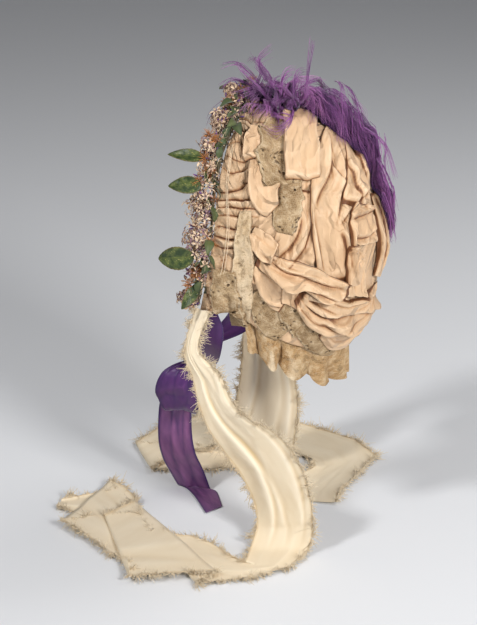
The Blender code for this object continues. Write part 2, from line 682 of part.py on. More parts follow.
def pad(name, layers, rows, along, across, height, slot):
    """Closed soft body on the crown: its underside follows what lies below, its top swells.

    The top has locks that run slantwise, as ridges of its height.
    """
    line = through(rows, along)
    v = np.linspace(-1, 1, across)
    step = np.gradient(line[:, :2], axis=0)
    lateral = unit(np.stack([-step[:, 1], step[:, 0]], -1))
    back = line[:, 0, None] + lateral[:, 0, None] * line[:, 2, None] * v
    up = line[:, 1, None] + lateral[:, 1, None] * line[:, 2, None] * v
    way = crown_direction(layers.side, back, up)
    base = layers.top(back, up, MAP_REACH)
    base = base + settle(crown_point(way, base), 0.0)
    along_share = np.linspace(0, 1, along)[:, None]
    lock = 1 + 0.16 * np.cos(2 * np.pi * (along_share * along / 2.0 + 0.25 * np.abs(v)))
    ends = np.sin(np.pi * np.clip(along_share * 0.94 + 0.03, 0, 1)) ** 0.4
    thick = PLUME_RIM + height * line[:, 3, None] * (1 - v**2) * lock * ends
    top = crown_point(way, base + thick)
    low = crown_point(way, base)
    count = along * across
    number = np.arange(count).reshape(along, across)
    rim = np.concatenate([number[0, :], number[1:, -1], number[-1, -2::-1], number[-2:0:-1, 0]])
    after = np.roll(rim, -1)
    faces = grid_faces(along, across)
    faces += [[a + count for a in reversed(face)] for face in faces]
    faces += np.stack([rim, after, after + count, rim + count], -1).tolist()
    made = new_object(name, np.vstack([top.reshape(-1, 3), low.reshape(-1, 3)]), faces, slot)
    face_out(made)
    layers.cover(top)
    return made


def make_plume(layers):
    """Ostrich plume: a fall over the crown and a tuft at its front, with curled tips fused on."""
    plumes = (("plume_fall", PLUME_FALL, 14, FALL_TIPS), ("plume_tuft", PLUME_TUFT, 8, TUFT_TIPS))
    for name, rows, along, tips in plumes:
        body = pad(name, layers, rows, along, 5, PLUME_HEIGHT, "plume")
        for number, tip in enumerate(tips):
            curl = wisp(f"{name}_curl_{number}", np.array(tip) * PLUME_REACH, WISP_RADIUS, "plume")
            curl.hide_render = True
            curl.display_type = "WIRE"
            join = body.modifiers.new(curl.name, "BOOLEAN")
            join.operation = "UNION"
            join.object = curl


def brim_frame(around):
    """Place on the brim's front edge, and the outward and forward directions there."""
    turn = np.radians(around)
    outward = np.stack([np.cos(turn), 0 * turn, np.sin(turn)], -1)
    forward = np.array([0.0, -1.0, 0.0]) + 0 * outward
    return brim_point(around, np.ones_like(around), ribbed=False), outward, forward


def make_stem():
    """Wire of the wreath, just before the brim's front edge, as a closed four-sided tube."""
    rings, sides = 33, 4
    around = np.linspace(BRIM_LOWEST + 2, 178 - BRIM_LOWEST, rings)
    edge, outward, forward = brim_frame(around)
    line = edge + forward * (BRIM_WALL / 2 + GAP + STEM_RADIUS)
    turn = np.linspace(0, 2 * np.pi, sides, endpoint=False)[None, :, None]
    ring = outward[:, None] * np.cos(turn) + forward[:, None] * np.sin(turn)
    grid = line[:, None] + ring * STEM_RADIUS
    count = rings * sides
    faces = grid_faces(rings, sides, closed=True)
    faces += [list(range(sides)), list(range(count - sides, count))]
    face_out(new_object("garland_stem", grid, faces, "leaf"))


def burst(name, centre, axis, radius, petals, depth, slot, along=(0.2, 0.3, 0.9), stretch=1.0):
    """Head of small florets or fluff: a ball whose radius waves in rows of petals.

    It is stretched along one direction across its axis.
    """
    rings, columns = 4, 2 * petals
    polar = np.pi * (np.arange(rings) + 1) / (rings + 1)
    turn = 2 * np.pi * np.arange(columns) / columns
    wave = np.cos(petals * turn[None, :] + np.pi * np.arange(rings)[:, None])
    size = radius * (1 - depth + depth * wave)
    side = unit(np.cross(axis, np.array(along)))
    other = np.cross(axis, side)
    ring = side * np.cos(turn)[:, None] + other * np.sin(turn)[:, None] * stretch
    grid = (ring[None] * (size * np.sin(polar)[:, None])[..., None]
            + axis * (size * np.cos(polar)[:, None])[..., None])
    poles = np.array([axis * radius * (1 - depth), -axis * radius * (1 - depth)])
    last = rings * columns
    faces = grid_faces(rings, columns, closed=True)
    faces += [(last, (i + 1) % columns, i) for i in range(columns)]
    faces += [(last + 1, last - columns + i, last - columns + (i + 1) % columns) for i in range(columns)]
    points = np.vstack([grid.reshape(-1, 3), poles]) + centre
    face_out(new_object(name, points, faces, slot))


def make_wreath():
    """Floret heads and sprigs against the stem, and leaves between them."""
    behind = BRIM_WALL / 2 + GAP + 2 * STEM_RADIUS + GAP
    for table, size, petals, depth, slot in (
            (HEADS, HEAD_RADIUS, 5, 0.22, "floret"), (SPRIGS, SPRIG_RADIUS, 5, 0.14, "sprig")):
        for name, (around, scale, stretch) in table.items():
            edge, outward, forward = brim_frame(np.array(float(around)))
            ahead = brim_frame(np.array(around + 1.0))[0]
            centre = edge + forward * (behind + size * scale * (1 - depth))
            burst(name, centre, forward, size * scale, petals, depth, slot, ahead - edge, stretch)
    for name, (around, tip, half_width, blade) in LEAVES.items():
        edge, outward, forward = brim_frame(np.array(float(around)))
        frame = np.array([forward, outward, [0.0, 0.0, 1.0]])
        start = edge + forward * (behind + GAP / 2)
        end = start + np.array(tip) @ frame * LEAF_LENGTH
        leaf(name, start, end, outward, half_width * LEAF_LENGTH, blade)


def leaf(name, start, end, outward, half_width, blade):
    """Leaf on a stalk: past the stalk, its width is a sine of the share along it.

    A crease runs along the midrib and the whole leaf bows outwards.
    """
    share = np.linspace(0, 1, 7)[:, None, None]
    v = np.array([-1.0, 0.0, 1.0])[None, :, None]
    side = unit(np.cross(end - start, outward))
    face = unit(np.cross(side, end - start))
    grown = np.clip((share - blade) / (1 - blade), 0, 1)
    swell = np.sin(np.pi * grown**0.8)
    width = half_width * (0.10 + swell)
    bow = face * half_width * (0.5 * np.sin(np.pi * share) + 0.3 * np.abs(v) * swell)
    grid = start + (end - start) * share + side * width * v + bow
    sheet(name, grid, LEAF_WALL, "leaf")


def tie_edges(side, hang, lying, cuts):
    """Both edges of a tie: a smooth hanging part, then straight panels with crisp folds."""
    corner = brim_point(np.array(BRIM_LOWEST), np.array(0.5), ribbed=False)
    low = -FLOOR_DEPTH + TIE_WALL
    hang = np.array(hang)
    drop = corner[2] - low
    edges = []
    for first in (0, 3):
        down = np.stack([
            side * (corner[0] + hang[:, first] * TIE_SPREAD),
            corner[1] + hang[:, first + 1] * TIE_SPREAD,
            corner[2] - hang[:, first + 2] * drop], -1)
        edges.append(down)
    lying = np.array(lying)
    flat = []
    for first in (0, 2):
        flat.append(np.stack([
            side * (corner[0] + lying[:, first] * TIE_SPREAD),
            corner[1] + lying[:, first + 1] * TIE_SPREAD,
            low + lying[:, 4] * TIE_LAYER], -1))
    hung = through(np.hstack([edges[0], edges[1], hang[:, 6:]]), 2 * len(hang) + 1)
    last = np.hstack([flat[0], flat[1], np.zeros((len(lying), 1))])
    laid = straight(np.vstack([hung[-1:], last]), cuts)[1:]
    return np.vstack([hung, laid])


def make_tie(name, side, hang, lying):
    """Silk tie as a strip between its edges, with pleats while it hangs and a toothed fringe."""
    rows = tie_edges(side, hang, lying, 2)
    front = rows[:, None, 0:3]
    rear = rows[:, None, 3:6]
    step = np.gradient((rows[:, 0:3] + rows[:, 3:6]) / 2, axis=0)
    step[np.linalg.norm(step[:, :2], axis=1) < TIE_LAYER] += np.array([0, 0, TIE_LAYER])
    across = unit(rear - front)
    face = unit(np.cross(unit(step)[:, None], across))
    tooth = np.where(np.arange(len(rows)) % 2, 1.0, 0.35)[:, None, None] * FRINGE
    share = np.array([0.0, 0.15, 0.5, 0.85, 1.0])[None, :, None]
    wave = np.array([0.0, -0.5, 1.0, -0.5, 0.0])[None, :, None]
    grid = front * (1 - share) + rear * share + face * wave * rows[:, 6:, None] * TIE_PLEAT
    grid[:, :1] -= across * tooth
    grid[:, -1:] += across * tooth
    sheet(name, grid, TIE_WALL, "tie")


def knot_centre():
    """The bow's knot, close under the ribbon at the chin."""
    drop = CHIN_DROP + RIBBON_WALL / 2 + GAP + KNOT_RADIUS * (1 - KNOT_FOLD)
    return np.array([0.0, -CHIN_FORWARD - KNOT_RADIUS / 2, -drop])


def strap_edges():
    """Front and rear edge of the ribbon from inside the left of the brim to under the chin."""
    inside = np.array([BRIM_WALL / 2 + RIB_HEIGHT + 2 * GAP + RIBBON_WALL / 2, 0.0, 0.0])
    front, rear = (brim_point(STRAP_SEAT, np.array(across), ribbed=False) - inside
                   for across in STRAP_ACROSS)
    seat = (front[-1] + rear[-1]) / 2
    chin = np.array([0.0, -CHIN_FORWARD, -CHIN_DROP])
    way = np.stack([STRAP[:, 0], 1 - STRAP[:, 1], 1 - STRAP[:, 2]], -1)
    middle = chin + way * (seat - chin)
    tilt = unit(np.stack([0 * STRAP[:, 0], -np.ones(len(STRAP)), 0.35 * STRAP[:, 0]], -1))
    half = RIBBON_WIDTH / 2 * (1 - 0.35 * np.exp(-(middle[:, 0:1] / 0.03) ** 2))
    return np.hstack([np.vstack([front, middle + tilt * half]), np.vstack([rear, middle - tilt * half])])


def make_ribbon():
    """Purple ribbon: a loop under the chin, and a bow with one loop and two tails."""
    half = strap_edges()
    line = through(np.vstack([half, half[-2::-1] * np.array([-1, 1, 1, -1, 1, 1])]), 29)
    share = np.linspace(0, 1, 3)[None, :, None]
    sheet("chin_strap", line[:, None, 0:3] * (1 - share) + line[:, None, 3:6] * share,
          RIBBON_WALL, "purple")
    knot = knot_centre()
    burst("bow_knot", knot, np.array([0.0, 0.0, 1.0]), KNOT_RADIUS, 4, KNOT_FOLD, "purple")
    for name, rows, count in (("bow_loop", BOW_LOOP, 17), ("bow_tail_front", BOW_TAIL_FRONT, 21),
                              ("bow_tail_back", BOW_TAIL_BACK, 9)):
        edges = through(rows, count)
        first = knot + edges[:, None, 0:3] * BOW_SIZE
        second = knot + edges[:, None, 3:6] * BOW_SIZE
        grid = first * (1 - share) + second * share
        grid[..., 2] = np.maximum(grid[..., 2], -FLOOR_DEPTH + RIBBON_WALL)
        sheet(name, grid, RIBBON_WALL, "purple")


def main():
    """Removes what the scene holds and makes every piece."""
    for old in list(bpy.data.objects):
        bpy.data.objects.remove(old, do_unlink=True)
    left = Layers(1)
    right = Layers(-1)
    maps = (left, right)
    make_crown(maps)
    make_brim(maps)
    make_ruffle()
    make_draped(right, maps, DRAPED_RIGHT)
    make_draped(left, maps, DRAPED)
    make_plume(left)
    make_stem()
    make_wreath()
    make_tie("tie_left", 1, TIE_LEFT_HANG, TIE_LEFT_LYING)
    make_tie("tie_right", -1, TIE_RIGHT_HANG, TIE_RIGHT_LYING)
    make_ribbon()


main()
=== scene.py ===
"""Poke bonnet: the finished look of every piece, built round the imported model.

Metres, +Z up. The wearer faces -Y and the wearer's left is +X.
"""

import math

import bpy
import numpy as np
from bpy.props import FloatProperty, FloatVectorProperty, IntProperty, PointerProperty
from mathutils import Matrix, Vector


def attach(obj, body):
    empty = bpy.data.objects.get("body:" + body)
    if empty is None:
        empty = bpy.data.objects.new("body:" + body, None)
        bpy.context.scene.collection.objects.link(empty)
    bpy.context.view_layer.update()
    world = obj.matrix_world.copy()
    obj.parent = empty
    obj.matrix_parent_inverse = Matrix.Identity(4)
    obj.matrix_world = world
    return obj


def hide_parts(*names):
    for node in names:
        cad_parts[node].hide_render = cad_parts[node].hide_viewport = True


bl_info = {
    "name": "Poke bonnet",
    "version": (1, 0, 0),
    "blender": (4, 5, 0),
    "location": "View3D > Sidebar > Bonnet",
    "description": "Draped silk bonnet with lace, wreath, plume, fringed ties and a ribbon bow",
    "category": "Add Mesh",
}

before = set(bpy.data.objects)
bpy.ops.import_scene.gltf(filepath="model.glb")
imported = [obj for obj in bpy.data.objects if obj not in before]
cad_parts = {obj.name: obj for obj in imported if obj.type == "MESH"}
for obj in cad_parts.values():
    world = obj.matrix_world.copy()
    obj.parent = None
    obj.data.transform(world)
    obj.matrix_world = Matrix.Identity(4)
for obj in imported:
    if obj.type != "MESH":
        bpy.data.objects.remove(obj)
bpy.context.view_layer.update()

GAP = 0.0004
FLOOR_GAP = 0.0004
FOLD_STOPS = 48
PLUME_STOPS = 400
PLUME_CEILING = 0.074
FOLD_SCALE = 0.0011
TIE_SOFTENING = 14
THREAD_SPACING = 0.00029
THREAD_RADIUS = 0.00036

# Stage: degrees round and up to the camera, what it looks at, its distance and its lens
VIEW_TURN, VIEW_RISE = 108.0, 20.0
VIEW_AIM = (0.00915, -0.02816, -0.19064)
VIEW_DISTANCE = 1.8
VIEW_LENS, VIEW_SENSOR = 109.1, 36.0

# Crown's edge: degrees round the back pole from the left, degrees out from the back pole,
# share of the rise at the seam
EDGE = np.array([
    (-90, 47, 0.1),
    (-68, 51, 0.1),
    (-43, 66, 0.15),
    (-33, 82, 0.22),
    (-26, 97, 0.3),
    (-18, 108, 0.4),
    (0, 100, 0.38),
    (30, 101, 0.45),
    (60, 104, 0.62),
    (90, 106, 1.0),
])

# Brim's front edge: degrees round from the left, share of the reach
FRONT = np.array([
    (-18, 1.0),
    (-8, 0.9),
    (5, 0.8),
    (15, 0.75),
    (30, 0.75),
    (45, 0.7),
    (60, 0.6),
    (75, 0.6),
    (90, 0.65),
])

# Silk and lace pieces, lowest first. Rows: degrees to the back from the ear, degrees up,
# half the width in degrees, share of the height. Pleats: place across, depth share, width share
DRAPED = {
    "lace_nape_side": {"kind": "lace", "rows": [
        (-5, -9, 5, 0.2), (0, -17, 8, 0.5), (6, -25, 8, 0.6), (10, -31, 6, 0.4)]},
    "lace_nape_square": {"kind": "lace", "rows": [
        (14, -12, 7, 0.3), (20, -19, 9, 0.7), (25, -28, 8, 0.5)]},
    "lace_nape_back": {"kind": "lace", "rows": [
        (24, -24, 7, 0.3), (31, -34, 8, 0.6), (40, -46, 7, 0.6), (47, -52, 5, 0.3)]},
    "panel_side": {"kind": "panel", "lean": 0.7, "pleats": [(-0.3, 0.7, 0.3), (0.45, 0.6, 0.25)], "rows": [
        (20, 36, 11, 0.3), (20, 22, 11, 0.7), (19, 9, 12, 0.8), (18, -2, 9, 0.4)]},
    "lace_fall_lower": {"kind": "lace", "rows": [
        (14, 42, 6, 0.3), (14, 33, 8, 0.6), (13, 24, 8, 0.5), (12, 16, 5, 0.2)]},
    "panel_side_lower": {"kind": "panel", "pleats": [(0.1, 0.6, 0.4)], "rows": [
        (-4, 3, 5, 0.2), (3, -2, 7, 0.6), (9, -8, 8, 0.7), (14, -13, 6, 0.3)]},
    "panel_back": {"kind": "panel", "lean": -0.6, "pleats": [(0.55, 0.5, 0.3)],
                   "rows": [
        (49, 88, 11, 0.4), (46, 66, 13, 0.9), (42, 42, 14, 1.0), (42, 18, 13, 0.9),
        (44, -8, 9, 0.4)]},
    "loop_front_lower": {"kind": "loop", "pleats": [(0.2, 0.5, 0.5)], "rows": [
        (-5, 47, 7, 0.5), (-2, 40, 8, 1.0), (0, 31, 8, 1.0), (5, 25, 4, 0.7)]},
    "loop_front_upper": {"kind": "loop", "pleats": [(-0.2, 0.5, 0.5)], "rows": [
        (-10, 60, 5, 0.5), (-10, 53, 6, 1.0), (-9, 44, 6, 0.9)]},
    "lace_fall_upper": {"kind": "lace", "rows": [
        (-2, 76, 6, 0.3), (1, 64, 12, 0.7), (5, 50, 13, 0.8), (8, 36, 11, 0.4)]},
    "loop_centre": {"kind": "loop", "puff": 0.7, "pleats": [(0.35, 0.35, 0.35)], "rows": [
        (7, 98, 14, 0.5), (13, 80, 13, 0.9), (18, 60, 11, 1.0), (21, 40, 10, 1.1)]},
    "loop_back_upper": {"kind": "panel", "lean": 0.5, "pleats": [(0.5, 0.8, 0.2)],
                        "rows": [
        (64, 90, 9, 0.5), (65, 70, 11, 1.0), (64, 48, 12, 1.1), (60, 28, 12, 0.9)]},
    "loop_back_square": {"kind": "loop", "puff": 0.4, "lean": -0.5, "pleats": [(0.1, 0.4, 0.3)], "rows": [
        (66, 31, 10, 0.6), (66, 21, 12, 1.1), (66, 10, 12, 1.0)]},
    "loop_back_point": {"kind": "loop", "puff": 0.45, "pleats": [
        (-0.3, 0.9, 0.25), (0.4, 0.8, 0.25)], "rows": [
        (63, 6, 3, 0.5), (60, -4, 7, 1.0), (58, -18, 9, 1.0)]},
    "loop_back_knot": {"kind": "loop", "pleats": [(0.0, 0.6, 0.4)], "rows": [
        (55, 11, 3, 0.6), (56, 2, 5, 1.2), (55, -8, 4, 0.6)]},
    "back_strip": {"kind": "loop", "puff": 0.45, "lean": -0.4, "pleats": [(0.1, 1.1, 0.3)], "rows": [
        (84, 42, 4, 0.5), (92, 22, 7, 1.2), (93, 2, 8, 1.3), (85, -14, 6, 0.8)]},
    "fold_panel": {"kind": "panel", "pleats": [(0.0, 0.8, 0.3)], "rows": [
        (21, -2, 6, 0.3), (19, -8, 7, 0.9), (16, -15, 5, 0.5)]},
    "puff_lower": {"kind": "loop", "puff": 0.5, "pleats": [
        (-0.5, 0.5, 0.2), (0.0, 0.4, 0.2), (0.5, 0.5, 0.2)], "rows": [
        (36, -28, 5, 0.5), (50, -38, 11, 1.0), (68, -42, 13, 1.1), (86, -40, 8, 0.7)]},
    "swag_lower": {"kind": "panel", "puff": 0.4, "pleats": [
        (-0.62, 0.7, 0.16), (-0.22, 0.5, 0.16), (0.2, 0.6, 0.16), (0.6, 0.6, 0.16)], "rows": [
        (22, -8, 5, 0.5), (32, -17, 9, 1.2), (46, -24, 9, 1.3), (62, -25, 7, 1.1),
        (80, -27, 8, 0.9), (93, -29, 6, 0.5)]},
    "band_diagonal": {"kind": "panel", "puff": 0.4, "pleats": [
        (-0.3, 0.4, 0.25), (0.35, 0.5, 0.25)], "rows": [
        (-2, 6, 3, 0.5), (13, 1, 5, 1.0), (27, -2, 5, 1.1), (38, -7, 5, 1.0), (51, -11, 4, 0.6)]},
    "loop_side_small": {"kind": "loop", "pleats": [(0.1, 0.6, 0.4)], "rows": [
        (-6, 15, 3, 0.5), (1, 11, 5, 1.0), (8, 8, 4, 0.9)]},
    "lace_side_strip": {"kind": "lace", "rows": [
        (-10, 23, 3, 0.5), (-9, 8, 5, 1.0), (-10, -8, 5, 1.0), (-13, -24, 4, 0.6)]},
    "lace_cheek": {"kind": "lace", "rows": [
        (-19, 0, 6, 0.3), (-19, -10, 7, 0.8), (-18, -20, 7, 1.6), (-17, -28, 6, 3.6)]},
}
DRAPED_RIGHT = {
    "right_lace": {"kind": "lace", "rows": [
        (-12, 44, 6, 0.4), (-8, 20, 9, 0.8), (-8, -4, 9, 0.8), (-8, -26, 6, 0.4)]},
    "right_panel": {"kind": "panel", "pleats": [(-0.5, 0.9, 0.16), (0.0, 0.8, 0.2), (0.5, 1.0, 0.16)],
                    "rows": [
        (18, 66, 14, 0.5), (22, 44, 18, 1.0), (26, 18, 18, 1.0), (30, -8, 13, 0.5)]},
    "right_loop": {"kind": "loop", "pleats": [(-0.3, 0.9, 0.2), (0.4, 1.0, 0.2)], "rows": [
        (52, 52, 8, 0.6), (54, 30, 12, 1.1), (52, 4, 12, 1.0)]},
    "right_swag": {"kind": "panel", "pleats": [
        (-0.6, 1.3, 0.15), (-0.2, 1.4, 0.15), (0.2, 1.4, 0.15), (0.6, 1.3, 0.15)], "rows": [
        (2, -14, 7, 0.5), (20, -24, 9, 1.1), (40, -30, 9, 1.2), (58, -30, 8, 0.6)]},
}

# Main folds on the shown side: depth in metres, width in degrees, the steep side (1 is to the
# right of the line as it runs, -1 to the left), and the line as degrees back and up from the ear
FOLDS = [
    (0.0034, 5.0, 1, [(35, 74), (38, 58), (37.5, 46), (30, 34), (26, 25)]),
    (0.0016, 2.6, 1, [(27, 27), (31, 13), (35.5, -1)]),
    (0.0026, 5.0, -1, [(57, 90), (68, 66), (74, 46)]),
    (0.0034, 4.5, 1, [(76, 43), (62, 35), (53, 28), (44, 21)]),
    (0.003, 4.5, -1, [(50, 56), (57, 45), (63, 38), (68, 26)]),
    (0.0026, 4.0, 1, [(82, 31), (66, 27), (52, 24)]),
    (0.0026, 4.0, 1, [(78, 18), (66, 15), (54, 16)]),
    (0.003, 4.0, -1, [(48, 19), (53, 9), (52, -3)]),
    (0.0026, 3.5, 1, [(72, 15), (62, 7), (53, 3)]),
    (0.0026, 5.0, 1, [(28, 26), (23, 12), (13, 3)]),
    (0.0022, 4.5, 1, [(21, 24), (17, 14), (5, 5)]),
    (0.003, 3.2, 1, [(52, -9), (36, -4), (23, 1), (13, 3), (-2, 11)]),
    (0.003, 3.0, 1, [(48, -13), (29, -6), (15, -4), (0, 4)]),
    (0.0034, 3.6, 1, [(94, -28), (66, -17), (49, -12), (34, -12), (22, -9)]),
    (0.0036, 3.6, 1, [(92, -36), (74, -29), (56, -23), (37, -20), (24, -12)]),
    (0.0032, 3.6, 1, [(86, -43), (68, -38), (50, -31), (34, -22)]),
    (0.0024, 3.2, -1, [(-3, 1), (0, -10), (14, -15)]),
    (0.0026, 4.0, -1, [(84, 44), (92, 26), (94, 4), (90, -12)]),
    (0.0022, 4.0, 1, [(44, 70), (50, 50), (46, 34), (42, 20)]),
    (0.0018, 3.0, 1, [(36, 60), (44, 46), (52, 38)]),
]

# Plume over the crown, in the same columns
PLUME_FALL = [
    (-2, 90, 8, 0.7), (20, 93, 15, 1.6), (40, 88, 16, 1.9), (60, 78, 13, 1.5), (77, 59, 8.5, 1.1),
    (89, 38, 5.5, 0.9), (95, 15, 3.5, 0.6)]
PLUME_TUFT = [
    (-31, 84, 6, 0.8), (-18, 86, 13, 1.9), (-4, 88, 15, 2.0), (8, 88, 10, 0.9)]
FALL_TIPS = [
    ((0.02, 0.34, 0.3), (0.03, 0.36, 0.5), (0.02, 0.39, 0.73)),
    ((0.05, 0.9, -0.02), (0.05, 1.08, -0.16), (0.03, 1.18, -0.48)),
    ((0.02, 1.02, -0.3), (0.06, 1.14, -0.52), (0.05, 1.2, -0.8)),
    ((0.04, 1.08, -0.62), (0.03, 1.16, -0.84), (0.0, 1.19, -1.06)),
]
TUFT_TIPS = [
    ((0.1, -0.08, 0.34), (0.2, -0.24, 0.52), (0.24, -0.38, 0.5)),
    ((0.12, -0.12, 0.3), (0.26, -0.28, 0.4), (0.28, -0.4, 0.32)),
    ((0.08, -0.02, 0.36), (0.12, -0.08, 0.54), (0.1, 0.04, 0.66)),
    ((-0.04, -0.04, 0.34), (-0.12, -0.18, 0.5), (-0.2, -0.26, 0.46)),
]

# Wreath: degrees round the brim's front edge, size, stretch along it
HEADS = {
    "florets_1": (86, 0.85, 1.0),
    "florets_2": (61, 1.0, 1.05),
    "florets_3": (47.5, 1.05, 1.1),
    "florets_4": (22.5, 1.15, 1.2),
    "florets_5": (10.5, 1.15, 1.15),
    "florets_6": (-13.5, 0.9, 1.0),
    "florets_7": (106, 0.95, 1.2),
    "florets_8": (128, 1.1, 1.25),
    "florets_9": (151, 1.15, 1.25),
    "florets_10": (177, 1.1, 1.2),
}
SPRIGS = {
    "sprig_1": (74, 0.95, 1.15),
    "sprig_2": (35.5, 1.05, 1.2),
    "sprig_3": (-2.5, 1.0, 1.3),
    "sprig_4": (141, 1.05, 1.2),
}
LEAVES = {
    "leaf_upper": (40.5, (1.35, 0.15, 0.02), 0.17, 0.45),
    "leaf_round": (29.8, (1.15, 0.25, -0.12), 0.22, 0.4),
    "leaf_large": (4.5, (1.3, 0.05, -0.22), 0.3, 0.35),
    "leaf_lower": (-6.8, (0.35, 0.5, -0.55), 0.16, 0.25),
    "leaf_right_upper": (118, (1.2, 0.2, 0.05), 0.2, 0.4),
    "leaf_right_large": (166, (1.25, 0.1, -0.15), 0.26, 0.35),
}

# Ties from the brim's lower corner. Front edge then rear edge: out and back in spreads,
# share of the way down, and pleat depth
TIE_LEFT_HANG = [
    (0.018, -0.085, -0.01, 0.018, -0.02, 0.0, 0.0),
    (0.028, -0.14, 0.171, 0.022, -0.074, 0.158, 0.5),
    (0.01, -0.105, 0.303, 0.01, 0.03, 0.269, 0.7),
    (0.0, -0.075, 0.423, 0.01, 0.075, 0.359, 0.7),
    (-0.02, -0.03, 0.53, 0.01, 0.17, 0.436, 0.8),
    (-0.06, 0.03, 0.645, 0.0, 0.28, 0.487, 1.0),
    (-0.065, 0.1, 0.735, -0.02, 0.39, 0.611, 1.1),
    (-0.07, 0.165, 0.85, -0.03, 0.45, 0.765, 1.0),
    (-0.05, 0.19, 0.955, -0.03, 0.47, 0.9, 0.6),
]
TIE_RIGHT_HANG = [
    (0.018, -0.11, -0.01, 0.018, -0.01, 0.0, 0.0),
    (0.025, -0.14, 0.316, -0.005, 0.09, 0.338, 1.1),
    (0.05, -0.17, 0.615, 0.01, 0.155, 0.637, 0.9),
    (0.09, -0.24, 0.872, 0.04, 0.13, 0.906, 0.5),
]
# Lying part: front edge, rear edge, and how many layers up. A fold is two rows at one place.
TIE_LEFT_LYING = [
    (0.05, 0.19, -0.01, 0.46, 0.4),
    (0.2, 0.21, 0.19, 0.41, 0.1),
    (0.14, 0.11, 0.34, 0.26, 0.0),
    (0.06, -0.01, 0.41, 0.14, 0.0),
    (0.02, -0.13, 0.44, 0.09, 0.0),
    (0.075, -0.295, 0.46, 0.06, 0.0),
    (0.075, -0.295, 0.46, 0.06, 1.0),
    (-0.22, -0.495, 0.35, 0.12, 1.0),
    (-0.22, -0.495, 0.35, 0.12, 2.0),
    (-0.12, -0.535, 0.435, -0.06, 2.1),
    (-0.015, -0.575, 0.52, -0.245, 2.0),
    (-0.015, -0.575, 0.52, -0.245, 1.0),
    (-0.09, -0.46, 0.4, -0.27, 1.0),
    (-0.09, -0.46, 0.4, -0.27, 0.0),
    (-0.25, -0.495, 0.3, -0.43, 0.1),
    (-0.34, -0.595, 0.19, -0.6, 1.7),
    (-0.405, -0.705, 0.095, -0.75, 2.0),
    (-0.405, -0.705, 0.095, -0.75, 1.0),
    (-0.29, -0.63, -0.01, -0.65, 1.0),
    (-0.29, -0.63, -0.01, -0.65, 0.0),
    (-0.26, -0.74, -0.05, -0.74, 0.0),
    (-0.15, -0.86, -0.09, -0.865, 0.0),
]
TIE_RIGHT_LYING = [
    (0.12, -0.33, 0.04, 0.0, 0.1),
    (0.19, -0.51, -0.1, -0.29, 0.0),
    (0.08, -0.75, -0.18, -0.57, 0.0),
    (0.08, -0.75, -0.18, -0.57, 1.0),
    (0.35, -0.695, 0.06, -0.46, 1.0),
    (0.58, -0.51, 0.24, -0.27, 1.0),
    (0.64, -0.12, 0.26, -0.06, 0.4),
    (0.58, 0.105, 0.24, 0.09, 0.0),
    (0.49, 0.34, 0.19, 0.19, 0.0),
    (0.33, 0.49, 0.1, 0.23, 0.0),
    (0.16, 0.47, 0.0, 0.19, 0.0),
    (-0.16, 0.42, -0.14, 0.17, 0.0),
    (-0.27, 0.44, -0.29, 0.18, 0.0),
]

# Purple ribbon: degrees round where it lies inside the brim, then out, forward and down as
# shares of the way from brim to chin
STRAP_SEAT = np.array([6.0, -5.0, -16.0])
STRAP_ACROSS = (0.96, 0.56)
STRAP = np.array([
    (0.97, 0.03, 0.25),
    (0.86, 0.14, 0.58),
    (0.64, 0.4, 0.87),
    (0.34, 0.8, 0.99),
    (0.0, 1.0, 1.0),
])
# Bow, from its knot in bow sizes: one edge, then the other
BOW = {
    "bow_loop": [
        (0.103, -0.07, -0.078, 0.103, 0.05, -0.078),
        (0.34, -0.34, -0.17, 0.34, 0.18, -0.17),
        (0.42, -0.46, -0.48, 0.42, 0.3, -0.44),
        (0.34, -0.38, -0.82, 0.36, 0.2, -0.78),
        (0.14, -0.3, -0.92, 0.16, 0.14, -0.88),
        (-0.02, -0.36, -0.7, 0.0, 0.22, -0.68),
        (-0.03, -0.28, -0.42, -0.01, 0.16, -0.42),
        (0.03, -0.07, -0.17, 0.03, 0.05, -0.17),
    ],
    "bow_tail_front": [
        (-0.075, -0.12, -0.115, -0.075, 0.0, -0.115),
        (-0.2, -0.42, -0.5, -0.2, -0.06, -0.52),
        (-0.22, -0.62, -0.94, -0.22, -0.08, -1.0),
        (-0.16, -0.64, -1.4, -0.16, -0.06, -1.5),
        (-0.18, -0.62, -1.8, -0.16, 0.0, -1.86),
        (-0.3, -0.52, -2.2, -0.26, 0.12, -2.22),
        (-0.34, -0.3, -2.6, -0.34, 0.24, -2.6),
        (-0.06, 0.0, -2.6, -0.26, 0.36, -2.6),
        (0.52, 0.42, -2.6, 0.2, 0.6, -2.6),
    ],
    "bow_tail_back": [
        (-0.095, 0.04, -0.075, -0.095, 0.14, -0.105),
        (-0.34, 0.1, -0.66, -0.34, 0.38, -0.58),
        (-0.48, 0.2, -1.2, -0.5, 0.58, -1.1),
        (-0.6, 0.3, -1.8, -0.64, 0.74, -1.7),
    ],
}


def length(name, description, metres):
    """A size that a user may change, in metres."""
    return FloatProperty(name=name, description=description, default=metres, unit="LENGTH", precision=4)


def colour(name, description, red, green, blue):
    """A colour that a user may change."""
    return FloatVectorProperty(name=name, description=description, default=(red, green, blue, 1.0),
                               subtype="COLOR", size=4, min=0.0, max=1.0)


